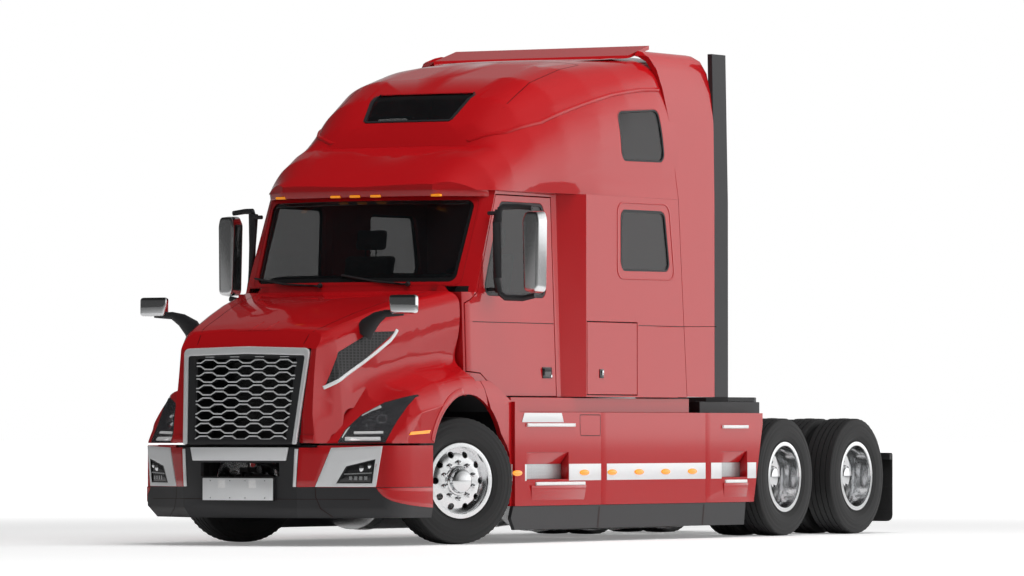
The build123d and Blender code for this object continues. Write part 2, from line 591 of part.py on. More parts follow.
roof_outer = roof_form()
mouth = plan_prism([(0, 600), (900, 640), (1000, 1100), (1080, FLARE[1]), (1140, 2500),
                    (1140, BACK_SPLIT), (0, BACK_SPLIT)], (VISOR_Z - 1, VISOR_Z + 90))
roof = roof_outer - (roof_form(WALL) + mouth)
upper_window = side_prism(SLEEPER_WINDOWS[1], SKIN_X, corner=WINDOW_CORNER)
roof -= upper_window + mirrored(upper_window)
roof -= front_prism(SKYLIGHT, (600, 1900), corner=SKYLIGHT_CORNER)
DEFLECTOR = ((2500, 3925), (2520, 3951), (3290, 4083), (3290, 4050), (3000, 3975))
DEFLECTOR_HALF = 931
roof += side_prism(DEFLECTOR, (-DEFLECTOR_HALF, DEFLECTOR_HALF))
keep("roof", roof)


def pane(form, opening):
    """Glass in an opening, set back from the skin of a form."""
    return (form(GLASS_DEPTH) - form(GLASS_DEPTH + GLASS)) & opening


def side_glass(form, outline):
    return both(pane(form, side_prism(outline, SKIN_X, FIT, WINDOW_CORNER)))


keep("windscreen", pane(cab_form, front_prism(WINDSCREEN, (-300, 700), FIT, SCREEN_CORNER)))
keep("fixed_windows", *side_glass(cab_form, SLEEPER_WINDOWS[0]),
     *side_glass(roof_form, SLEEPER_WINDOWS[1]),
     pane(roof_form, front_prism(SKYLIGHT, (600, 1900), FIT, SKYLIGHT_CORNER)))

door = (cab_outer - cab_form(WALL, floor=-1, roof=1)) & side_prism(DOOR, SKIN_X, SEAM)
door -= side_prism(DOOR_WINDOW, SKIN_X, corner=DOOR_CORNER)
door_glass = pane(cab_form, side_prism(DOOR_WINDOW, SKIN_X, FIT, DOOR_CORNER))
keep("door_left", door)
keep("door_right", mirrored(door))
keep("door_glass_left", door_glass)
keep("door_glass_right", mirrored(door_glass))
luggage = (cab_outer - cab_form(WALL, floor=-1, roof=1)) & side_prism(LUGGAGE, SKIN_X, SEAM)
keep("luggage_door_left", luggage)
keep("luggage_door_right", mirrored(luggage))

# ---------------------------------------------------------------- inside the cab
SEAT_X = 560
SEAT_AT = 1180
seats = []
for x in (SEAT_X, -SEAT_X):
    seat = block((x - 270, x + 270), (SEAT_AT - 430, SEAT_AT + 80), (1620, 1760))
    seat += side_prism([(SEAT_AT - 60, 1740), (SEAT_AT + 70, 1740), (SEAT_AT + 190, 2350),
                        (SEAT_AT + 80, 2350)], (x - 260, x + 260))
    seat += side_prism([(SEAT_AT + 85, 2345), (SEAT_AT + 180, 2345), (SEAT_AT + 200, 2540),
                        (SEAT_AT + 110, 2540)], (x - 150, x + 150))
    seat += block((x - 180, x + 180), (SEAT_AT - 350, SEAT_AT + 20), (CAB_BOTTOM + FLOOR, 1630))
    seats.append(seat)
DASH = ((200, 1700), (200, 2000), (330, 2120), (560, 2140), (640, 2060), (640, 1930), (520, 1700))
dash = side_prism(DASH, (-895, 895))
dash += block((-900, 900), (CAB_FRONT + WALL + FIT, 260), (1750, 1950))
WHEEL_HUB = (SEAT_X, 790, 2080)
column_tilt = 35
steering = Pos(WHEEL_HUB[0], aft(WHEEL_HUB[1]), WHEEL_HUB[2]) * Rot(column_tilt, 0, 0) * (
    Torus(215, 15) + Cylinder(60, 30) + Box(400, 40, 16) + Pos(0, 100, -8) * Box(34, 220, 16)
    + Pos(0, -100, -8) * Box(34, 200, 16) + Pos(0, 0, -90) * Cylinder(24, 180))
keep("dashboard", dash + steering)
BUNK_Z = (1600, 1830)
bunk = block((-SLEEPER_X + WALL + 6, SLEEPER_X - WALL - 6), (2420, BACK_SPLIT - FIT), BUNK_Z)
bunk += block((-SLEEPER_X + WALL + 60, SLEEPER_X - WALL - 60), (2640, BACK_SPLIT - FIT),
              (CAB_BOTTOM + FLOOR, BUNK_Z[0]))
keep("seats_and_bunk", *seats, bunk)

# ---------------------------------------------------------------- hood
HOOD_FOOT = 795
HOOD_REAR = 48
HOOD_ROWS = (               # station, shoulder x, top z, corner, then valley, crown, brow, side, and foot x
    (-1500, 590, 1560, 80, (640, 930), (643, 895), (646, 860), (648, 830), 650),
    (-1385, 643, 1615, 90, (698, 960), (712, 915), (722, 870), (728, 835), 732),
    (-1268, 697, 1671, 100, (752, 1020), (782, 905), (822, 868), (845, 835), 855),
    (-1128, 735, 1718, 104, (792, 1118), (860, 1022), (990, 950), (1080, 880), 1125),
    (-980, 771, 1763, 108, (826, 1200), (950, 1120), (1090, 1075), (1160, 960), 1180),
    (-811, 813, 1815, 112, (862, 1270), (985, 1222), (1125, 1172), (1188, 1050), 1197),
    (-500, 891, 1898, 118, (940, 1345), (1042, 1300), (1150, 1245), (1196, 1110), 1200),
    (-150, 983, 1963, 114, (1020, 1385), (1085, 1345), (1160, 1295), (1198, 1180), 1200),
    (HOOD_REAR, 1035, 2000, 110, (1052, 1375), (1102, 1340), (1166, 1298), (1199, 1200), 1200),
)
CROWN = 22
NOSE = (                    # side outline of the nose: grille plane, notch, top, cowl
    (-1532, HOOD_FOOT), (-1430, 1525), (-1310, 1668), (-1250, 2200), (HOOD_REAR, 2200),
    (HOOD_REAR, HOOD_FOOT),
)
WINDSCREEN_SWEEP = ((-1070, 50), (0, -100), (1070, 50))
LAMP_PLANE = ((768, -1365, 793), (1082, -1165, 793), (1150, -810, 1177))
SIDE_RUN = ((0.08, -1), (0, -1))            # where a section leaves the shoulder and meets its foot
SIDE_RUN_RIGHT = ((-0.08, -1), (0, -1))
PLAIN_SPLAY = 63            # how much wider the plain hood stands at its foot
LAMP_CLEAR = 3              # lamp face stops this far outside the plain hood
LOBE_X = (1118, 1200)
LOBE = ((HOOD_REAR - 2, HOOD_FOOT), (HOOD_REAR - 2, 1338), (110, 1338), (300, 1200), (300, HOOD_FOOT))
HOOD_PIVOT = (-1500, 420)
HOOD_SWEEP = 1838           # radius about the pivot at which hood and fixed fender meet
ARCH = (-103, 635, 542)     # behind the axle, height, radius


def hood_section(row, inset=0, fenders=True):
    """Cross-section of the hood, with or without the fenders that flow out of it."""
    station, shoulder, top, corner, *swell, foot = row
    shoulder, top = shoulder - inset, top - inset
    a, b = (shoulder, top - corner), (shoulder - corner, top)
    knee = (shoulder - corner * (1 - cos(radians(45))), top - corner * (1 - sin(radians(45))))
    base = HOOD_FOOT - 10 - inset
    if fenders:
        run = [a, *[(x - inset, z - inset) for x, z in swell], (foot - inset, base)]
        edges = Spline(*run, tangents=SIDE_RUN) + Spline(*[(-x, z) for x, z in run], tangents=SIDE_RUN_RIGHT)
    else:
        wide = shoulder + PLAIN_SPLAY
        run = [a, (wide, base)]
        edges = Line(*run) + Line((-a[0], a[1]), (-wide, base))
    edges += Line((-run[-1][0], base), (run[-1][0], base))
    edges += ThreePointArc(a, knee, b) + ThreePointArc(b, (0, top + CROWN), (-b[0], b[1]))
    edges += ThreePointArc((-b[0], b[1]), (-knee[0], knee[1]), (-a[0], a[1]))
    behind = inset if inset and station == HOOD_REAR else 0
    return Plane.XZ.offset(-aft(station + behind)) * make_face(edges)


def plain_section(row, inset):
    return hood_section(row, inset, fenders=False)


def lamp_plane():
    """Slanted face of the headlamps, leaning back and outwards."""
    a, b, c = [Vector(x, aft(y), z) for x, y, z in LAMP_PLANE]
    normal = (b - a).cross(c - a).normalized()
    return Plane(origin=a, x_dir=(b - a), z_dir=normal)


def lamp_slab(near, far):
    """Space between two depths of the lamp face: positive is ahead of it."""
    return extrude(make_face(lamp_plane().offset(near) * Rectangle(3000, 3000)), far - near)


def hood_form(inset=0):
    """Closed form of the hood with its fenders, up to the nose."""
    body = swept_sections(HOOD_ROWS, hood_section, inset)
    shift = [(y + (inset if y < HOOD_REAR else min(inset, 1)), z) for y, z in NOSE]
    return body & side_prism(shift, (-1300, 1300))


arch_cut = cylinder_x(ARCH[2], (1000, 1300), ARCH[0], ARCH[1])
hood_outer = hood_form()
hood = hood_outer - hood_form(HOOD_WALL)
hood -= block((-1080, 1080), (HOOD_REAR - 120, HOOD_REAR + 10), (HOOD_FOOT - 20, 1320))
ahead = lamp_slab(0, 1500) - swept_sections(HOOD_ROWS, plain_section, -LAMP_CLEAR)
face = (hood_outer & lamp_slab(-HOOD_WALL, 0)) - swept_sections(HOOD_ROWS, plain_section, HOOD_WALL - LAMP_CLEAR)
for gone, wall in zip(both(ahead), both(face)):
    hood = hood - gone + wall
sweep = make_face(ThreePointArc(*[(x, aft(y)) for x, y in WINDSCREEN_SWEEP])
                  + Polyline((1070, aft(50)), (1070, aft(400)), (-1070, aft(400)), (-1070, aft(50))))
hood -= extrude(Plane.XY.offset(1400) * sweep, 1000)
hood -= block((-1500, 1500), (-1700, 400), (0, HOOD_FOOT))
hood -= arch_cut + mirrored(arch_cut)
REAR_EDGE = front_prism(((LOBE_X[0], HOOD_FOOT), (LOBE_X[0], 1332), (1150, 1312), (1178, 1280), (1196, 1225),
                         (LOBE_X[1], 1180), (1212, 1100), (1212, HOOD_FOOT)), (40, 560))
lobe = (side_prism(LOBE, (LOBE_X[1] - HOOD_WALL, LOBE_X[1])) & REAR_EDGE) - arch_cut
lobe &= cylinder_x(HOOD_SWEEP - SEAM / 2, (1000, 1300), *HOOD_PIVOT)
hood += lobe + mirrored(lobe)

LAMP_FRONT = ((768, 798), (784, 900), (850, 1020), (965, 1112), (1148, 1177), (1098, 960), (1080, 798))
LAMP_DEPTH = 60
VENT_SIDE = ((-1372, 1235), (-1250, 1500), (-900, 1660), (-640, 1668), (-1000, 1420))
lamp_zone = front_prism(LAMP_FRONT, (-1500, -760))
vent_zone = side_prism(VENT_SIDE, (500, 1100))
lamp = hood_outer & lamp_slab(-LAMP_DEPTH, 0) & front_prism(LAMP_FRONT, (-1500, -760), FIT)
vent = (hood_outer - hood_form(HOOD_WALL)) & side_prism(VENT_SIDE, (500, 1100), FIT)
hood -= lamp_zone + mirrored(lamp_zone) + vent_zone + mirrored(vent_zone)

GRILLE_FOOT = (-1559, 780)
GRILLE_HEAD = (-1449, 1531)
slant = atan2(GRILLE_HEAD[0] - GRILLE_FOOT[0], GRILLE_HEAD[1] - GRILLE_FOOT[1])
GRILLE_PLANE = Plane(origin=(0, aft(GRILLE_FOOT[0]), GRILLE_FOOT[1]), x_dir=(1, 0, 0),
                     z_dir=(0, -cos(slant), sin(slant)))
SURROUND = ((-518, 8), (-577, 759), (0, 775), (577, 759), (518, 8))
MESH = ((-425, 47), (-467, 695), (467, 695), (425, 47))
SURROUND_DEPTH = 75
MESH_DEPTH = 40


def grille_slab(outline, deep, inset=0, recess=0):
    """Outline in the grille's own plane, given depth behind it."""
    face = make_face(Polyline(*outline, close=True))
    if inset:
        face = offset(face, -inset, kind=Kind.INTERSECTION)
    return extrude(GRILLE_PLANE.offset(-recess) * face, -deep)


surround = grille_slab(SURROUND, SURROUND_DEPTH) - grille_slab(MESH, SURROUND_DEPTH + 2)
hood -= grille_slab(SURROUND, 300, -FIT)
ROW_PITCH = 50
WAVE = 229
BAR = 9


def mesh_bar(height, phase):
    """One trapezoid-wave bar of the grille."""
    points = []
    steps = 9
    for index in range(-steps, steps + 1):
        lift = ROW_PITCH / 4 if (index + phase) % 2 else -ROW_PITCH / 4
        centre = index * WAVE / 2
        points += [(centre - WAVE * 0.16, height + lift), (centre + WAVE * 0.16, height + lift)]
    upper = [(x, z + BAR / 2) for x, z in points]
    lower = [(x, z - BAR / 2) for x, z in reversed(points)]
    return upper + lower


opening = grille_slab(MESH, 200, FIT)
bars = grille_slab(MESH, MESH_DEPTH, FIT, 12) - grille_slab(MESH, MESH_DEPTH + 40, 14)
rows = int(700 / ROW_PITCH)
for index in range(rows):
    outline = mesh_bar(60 + index * ROW_PITCH, index)
    bars += grille_slab(outline, MESH_DEPTH, 0, 12) & opening
keep("grille_surround", surround)
keep("hood", hood)
keep("headlamps", *both(lamp))
keep("grilles", bars, *both(vent))
EYE_MIRROR = (1150, -1000, 1870)
hood_mirror = Pos(EYE_MIRROR[0], aft(EYE_MIRROR[1]), EYE_MIRROR[2]) * Box(250, 70, 150)
hood_mirror = fillet(hood_mirror.edges(), 28)

MIRROR_ARM = ((800, -930, 1690), (1060, -1000, 1850))
base, tip = [Vector(x, aft(y), z) for x, y, z in MIRROR_ARM]
arm = Plane(origin=base, z_dir=tip - base) * Cylinder(18, (tip - base).length * 2)
hood_mirror += (arm & block((700, 1100), (-1100, -800), (1500, 1860))) - hood_form(-FIT)
keep("hood_mirrors", *both(hood_mirror))

# ---------------------------------------------------------------- door mirrors
MIRROR_X = (1328, 1515)
MIRROR_AT = (480, 600)
MIRROR_Z = (1968, 2628)
mirror_head = Pos(sum(MIRROR_X) / 2, aft(sum(MIRROR_AT) / 2), sum(MIRROR_Z) / 2) * Box(
    MIRROR_X[1] - MIRROR_X[0], MIRROR_AT[1] - MIRROR_AT[0], MIRROR_Z[1] - MIRROR_Z[0])
mirror_head = fillet(mirror_head.edges(), 34)
for z in (MIRROR_Z[0] - 10, MIRROR_Z[1] + 20):
    outer = door_x_at(z) + FIT
    mirror_head += block((outer, MIRROR_X[0] + 110), (520, 570), (z - 22, z + 22))
mirror_head += block((MIRROR_X[0] + 66, MIRROR_X[0] + 110), (520, 570), (MIRROR_Z[0] - 30, MIRROR_Z[1] + 42))
mirror_head -= cab_form(-FIT)
keep("door_mirror_left", mirror_head)
keep("door_mirror_right", mirrored(mirror_head))

# ---------------------------------------------------------------- bumper
BUMPER_REACH = FRONT_REACH - 30
BUMPER_PLAN = (
    (0, -BUMPER_REACH), (520, -BUMPER_REACH), (744, -1393), (1082, -1200), (1160, -1080), (1196, -930), (1200, -640),
)
BUMPER_WALL = 40
VALANCE_Z = 456
BUMPER_TOP = 762
BUMPER_BOTTOM = 217
CORNER_X = 650              # seam between the middle and the painted corners


def bumper_ring(inset=0):
    """Plan of the bumper skin, open to the rear."""
    rear = BUMPER_PLAN[-1]
    outline = list(BUMPER_PLAN) + [(0, rear[1])]
    return plan_face(outline, inset)


def bumper_skin(z, deep=BUMPER_WALL, inset=0):
    outer = extrude(Plane.XY.offset(z[0]) * bumper_ring(inset), z[1] - z[0])
    inner = extrude(Plane.XY.offset(z[0] - 1) * bumper_ring(inset + deep), z[1] - z[0] + 2)
    inner += block((-1200 + deep, 1200 - deep), (BUMPER_PLAN[-1][1] - 60 - deep, BUMPER_PLAN[-1][1] + 5),
                   (z[0] - 1, z[1] + 1))
    return outer - inner


middle = block((-CORNER_X, CORNER_X), (-1700, 0), (0, 1000))
valance = bumper_skin((BUMPER_BOTTOM, VALANCE_Z))
centre = bumper_skin((VALANCE_Z, BUMPER_TOP)) & middle
centre -= block((-360, 360), (-1700, -1400), (537, 646))
bumper = valance + centre
for bracket in both(block((FRAME_HALF - RAIL_FLANGE - 60, FRAME_HALF - RAIL_FLANGE + 40),
                          (-BUMPER_REACH + BUMPER_WALL, FRAME_FRONT - FIT), (FRAME_BOTTOM - 40, BUMPER_TOP - 20))):
    bumper += bracket
bumper += block((-327, 327), (-FRONT_REACH, -BUMPER_REACH), (350, 529))
keep("bumper", bumper)
corner = bumper_skin((VALANCE_Z + FIT, BUMPER_TOP + 16)) - block(
    (-CORNER_X - FIT, CORNER_X + FIT), (-1700, 0), (0, 1000))
corner &= block((0, 1300), (-1700, 0), (0, 1000))
FOG_LAMP = ((838, 490), (1030, 490), (1038, 655), (905, 610))
fog_zone = front_prism(FOG_LAMP, (-1450, -1100))
fog = (bumper_skin((VALANCE_Z + FIT, BUMPER_TOP)) & block((0, 1300), (-1700, 0), (0, 1000)))
fog &= front_prism(FOG_LAMP, (-1450, -1100), FIT)
keep("bumper_corners", *both(corner - fog_zone))

# ---------------------------------------------------------------- side fairings
FAIRING_SIDE = (
    (520, FAIRING_Z[0]), (520, 700), (480, 770), (385, 870), (100, 900), (60, 1336), (190, 1335),
    (395, 1218), (560, 1120), (640, FAIRING_Z[1]), (4700, FAIRING_Z[1]), (4700, 947),
    (4540, FAIRING_Z[0]),
)
FAIRING_SEAMS = (1940, 3700)
STEP_RECESS = (((737, 505), (737, 720), (1410, 720), (1410, 505)),
               ((3975, 505), (3975, 720), (4424, 720), (4424, 505)))
fairing = side_prism(FAIRING_SIDE, FAIRING_X)
forward = block((1165, FAIRING_X[1]), (0, 700), (0, 1400))
fairing = (fairing - forward) + (side_prism(FAIRING_SIDE, (1172, 1212)) & (REAR_EDGE + block(
    (1000, 1300), (0, 560), (0, HOOD_FOOT + 1)))) + (side_prism(FAIRING_SIDE, (1172, FAIRING_X[1])) & block(
        (1000, 1300), (555, 705), (0, 1400)))
fairing -= arch_cut + cylinder_x(HOOD_SWEEP + SEAM / 2, (1000, 1300), *HOOD_PIVOT) & block(
    (1000, 1300), (-200, 450), (860, 1400))
for outline in STEP_RECESS:
    fairing -= side_prism(outline, (1100, 1300))
fairing += block((1110, FAIRING_X[0] + 1), (640, 3750), (FAIRING_Z[1] - 18, FAIRING_Z[1]))
for front, rear in TANKS:
    for station in (front + 180, rear - 180):
        fairing += block((TANK_X + TANK_RADIUS + 8 + FIT, FAIRING_X[0] + 1), (station - 30, station + 30),
                         (TANK_Z - 40, TANK_Z + 40))
for seam in FAIRING_SEAMS:
    fairing -= block((1000, 1300), (seam - SEAM / 2, seam + SEAM / 2), (0, 1400))
keep("chassis_fairings", *both(fairing))

steps = []
for outline in STEP_RECESS:
    front, rear = outline[0][0], outline[2][0]
    depth = FAIRING_X[0] - 140
    shell = block((depth, FAIRING_X[0] - FIT), (front - 15, rear + 15), (490, 735))
    shell -= block((depth + 12, FAIRING_X[0] + 5), (front, rear), (505, 720))
    shell += block((FRAME_HALF + FIT, depth), ((front + rear) / 2 - 40, (front + rear) / 2 + 40),
                   (FRAME_BOTTOM, FRAME_BOTTOM + 30))
    shell += block((depth - 30, depth), ((front + rear) / 2 - 40, (front + rear) / 2 + 40),
                   (600, FRAME_BOTTOM + 30))
    steps.append(shell)
keep("steps", *both(steps[0]), *both(steps[1]))

SKIRT = ((540, FAIRING_Z[0] - FIT), (500, 200), (560, 105), (4380, 105), (4410, FAIRING_Z[0] - FIT))
CAB_SKIRT_Z = (FAIRING_Z[1] + FIT, CAB_BOTTOM - 7)
keep("side_skirts", *both(side_prism(SKIRT, (FAIRING_X[0] + 2, FAIRING_X[1] - 6))),
     *both(block((1118, 1150), (640, 3575), CAB_SKIRT_Z)))

# ---------------------------------------------------------------- behind the cab
DECK_Z = (FRAME_TOP + FIT, 1134)
keep("deck_box", block((-1150, 1150), (3760, 4814), DECK_Z))
EXTENDER_FOOT = 1172
EXTENDER_REAR = 3890
EXTENDER_WALL = 45
EXTENDER_LIP = DEFLECTOR_HALF + 14
EXTENDER_SIDE = ((3418, EXTENDER_FOOT), (3271, CAB_TOP + 3), (3005, 3985), (3100, 4050), (EXTENDER_REAR, 4050),
                 (EXTENDER_REAR, EXTENDER_FOOT))
EXTENDER_FRONT = (          # outer line of the wing, over the roof's corner, and back down inside it
    (SLEEPER_X, EXTENDER_FOOT), (SLEEPER_X, CAB_TOP), (1211, 3450), (1184, 3700), (1146, 3870), (1083, 3972),
    (1000, 4018), (EXTENDER_LIP, 4030), (EXTENDER_LIP, 3985), (985, 3975), (1053, 3935), (1104, 3850),
    (1139, 3690), (1166, 3440),
    (SLEEPER_X - EXTENDER_WALL, CAB_TOP), (SLEEPER_X - EXTENDER_WALL, EXTENDER_FOOT),
)
extender = front_prism(EXTENDER_FRONT, (3000, EXTENDER_REAR)) & side_prism(EXTENDER_SIDE, SKIN_X)
extender -= roof_outer
keep("side_extenders", *both(extender))
TRIM_REAR = 4130
TRIM_FRONT = ((SLEEPER_X, EXTENDER_FOOT), (SLEEPER_X, CAB_TOP), (1197, 4035), (1197 - EXTENDER_WALL, 4035),
              (SLEEPER_X - EXTENDER_WALL, CAB_TOP), (SLEEPER_X - EXTENDER_WALL, EXTENDER_FOOT))
keep("extender_trims", *both(front_prism(TRIM_FRONT, (EXTENDER_REAR + FIT, TRIM_REAR))))

# ---------------------------------------------------------------- lamps
AMBER_OVALS = (1658, 2112, 2559, 3007, 3462)
lamps = both(fog)
for station in AMBER_OVALS:
    lamps += both(block((FAIRING_X[1] + FIT, FAIRING_X[1] + 12), (station - 30, station + 30), (540, 572)))
keep("lamps", *lamps)

# ---------------------------------------------------------------- write the nodes
for node_name, solids in NODES.items():
    shape = solids[0] if len(solids) == 1 else Compound(children=solids)
    export_step(shape, f"parts/{node_name}.step")
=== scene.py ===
"""High-roof sleeper tractor unit: the finish, the fine pieces and the studio round the CAD frame."""
import json
from math import atan2, cos, hypot, pi, radians, sin

import bmesh
import bpy
from bpy.props import FloatProperty, FloatVectorProperty, PointerProperty
from mathutils import Matrix, Vector
from mathutils.bvhtree import BVHTree

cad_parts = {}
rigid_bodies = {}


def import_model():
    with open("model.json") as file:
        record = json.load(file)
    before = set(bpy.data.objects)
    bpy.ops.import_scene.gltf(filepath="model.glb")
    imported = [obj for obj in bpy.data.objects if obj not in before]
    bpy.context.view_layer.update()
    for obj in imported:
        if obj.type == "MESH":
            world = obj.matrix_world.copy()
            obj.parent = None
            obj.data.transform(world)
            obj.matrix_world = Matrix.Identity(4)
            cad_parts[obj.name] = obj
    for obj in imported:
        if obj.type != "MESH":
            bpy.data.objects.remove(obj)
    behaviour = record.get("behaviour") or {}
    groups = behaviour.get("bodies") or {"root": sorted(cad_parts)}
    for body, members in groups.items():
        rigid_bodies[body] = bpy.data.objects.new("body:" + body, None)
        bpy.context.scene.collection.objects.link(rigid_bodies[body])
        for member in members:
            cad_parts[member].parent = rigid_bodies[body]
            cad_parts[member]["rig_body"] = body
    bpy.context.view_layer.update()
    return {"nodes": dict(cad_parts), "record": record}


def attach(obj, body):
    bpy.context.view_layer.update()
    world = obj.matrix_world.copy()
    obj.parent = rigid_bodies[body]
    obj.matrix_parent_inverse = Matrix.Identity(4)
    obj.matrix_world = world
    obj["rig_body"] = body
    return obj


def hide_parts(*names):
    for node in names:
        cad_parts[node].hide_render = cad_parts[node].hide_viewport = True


bl_info = {
    "name": "Sleeper Tractor Dressing",
    "version": (1, 0, 0),
    "blender": (4, 5, 0),
    "location": "View3D > Sidebar > Tractor",
    "description": "Finishes, fine pieces and studio for a three-axle sleeper tractor",
    "category": "Object",
}

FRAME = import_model()
NODES = FRAME["nodes"]
FRONT_AXLE_Y = -2.8
SIDES = {"left": 1, "right": -1}


# ---------------------------------------------------------------- settings
class TractorPaint(bpy.types.PropertyGroup):
    """Colours a fleet would choose."""
    body: FloatVectorProperty(name="Body paint", description="Clearcoat colour of the cab",
                              subtype="COLOR", size=3, default=(0.43, 0.004, 0.007))
    trim: FloatVectorProperty(name="Trim", description="Moulded black trim",
                              subtype="COLOR", size=3, default=(0.022, 0.022, 0.024))
    chassis: FloatVectorProperty(name="Chassis", description="Frame paint",
                                 subtype="COLOR", size=3, default=(0.018, 0.018, 0.02))


class TractorStudio(bpy.types.PropertyGroup):
    """Camera and studio."""
    azimuth: FloatProperty(name="Azimuth", description="Camera turn about the truck", subtype="ANGLE",
                           default=radians(30.28))
    pitch: FloatProperty(name="Pitch", description="Camera tilt above level", subtype="ANGLE",
                         default=radians(1.172))
    place: FloatVectorProperty(name="Camera place", description="Where the camera stands",
                               subtype="TRANSLATION", size=3, unit="LENGTH",
                               default=(29.0206, -49.871, 0.8944))
    lens: FloatProperty(name="Lens", description="Focal length", unit="CAMERA", default=244.75)
    side_glow: FloatProperty(name="Side glow", description="White wall beside the truck", default=1.35)


# ---------------------------------------------------------------- materials
def add(tree, kind, **values):
    """New node with its sockets or settings filled in."""
    node = tree.nodes.new(kind)
    for key, value in values.items():
        if key.replace("_", " ") in node.inputs:
            node.inputs[key.replace("_", " ")].default_value = value
        else:
            setattr(node, key, value)
    return node


def join(tree, *links):
    """Link sockets, each link given as (node, output, node, input)."""
    for source, output, target, entry in links:
        tree.links.new(source.outputs[output], target.inputs[entry])


def graph(name, **settings):
    """Node material with nothing but its principled shader and its output."""
    material = bpy.data.materials.new(name)
    material.use_nodes = True
    tree = material.node_tree
    tree.nodes.clear()
    out = add(tree, "ShaderNodeOutputMaterial")
    shader = add(tree, "ShaderNodeBsdfPrincipled", **settings)
    join(tree, (shader, 0, out, 0))
    return material, tree, shader


def colour_ramp(tree, stops):
    """Ramp between two (position, colour) stops."""
    ramp = add(tree, "ShaderNodeValToRGB")
    for element, (position, colour) in zip(ramp.color_ramp.elements, stops):
        element.position = position
        element.color = (*colour, 1)
    return ramp


def cells(tree, shader, mapping, strength, distance, invert=False, **settings):
    """Regular cells on object coordinates that raise the surface."""
    place = add(tree, "ShaderNodeTexCoord")
    mapping = add(tree, "ShaderNodeMapping", **mapping)
    pattern = add(tree, "ShaderNodeTexVoronoi", Randomness=0.0, **settings)
    raised = add(tree, "ShaderNodeBump", Strength=strength, Distance=distance, invert=invert)
    join(tree, (place, "Object", mapping, "Vector"), (mapping, 0, pattern, "Vector"),
         (pattern, "Distance", raised, "Height"), (raised, 0, shader, "Normal"))
    return pattern


def grain(tree, shader, scale, colours, bump=0.0, detail=4.0, rough=None, distance=0.001):
    """Noise on object coordinates that shades the colour, the roughness and the surface."""
    place = add(tree, "ShaderNodeTexCoord")
    mapping = add(tree, "ShaderNodeMapping")
    noise = add(tree, "ShaderNodeTexNoise", Scale=scale, Detail=detail)
    ramp = colour_ramp(tree, zip((0.3, 0.7), colours))
    join(tree, (place, "Object", mapping, "Vector"), (mapping, 0, noise, "Vector"), (noise, 0, ramp, 0),
         (ramp, 0, shader, "Base Color"))
    if rough:
        reach = add(tree, "ShaderNodeMapRange", To_Min=rough[0], To_Max=rough[1])
        join(tree, (noise, 0, reach, 0), (reach, 0, shader, "Roughness"))
    if bump:
        raised = add(tree, "ShaderNodeBump", Strength=bump, Distance=distance)
        join(tree, (noise, 0, raised, "Height"), (raised, 0, shader, "Normal"))


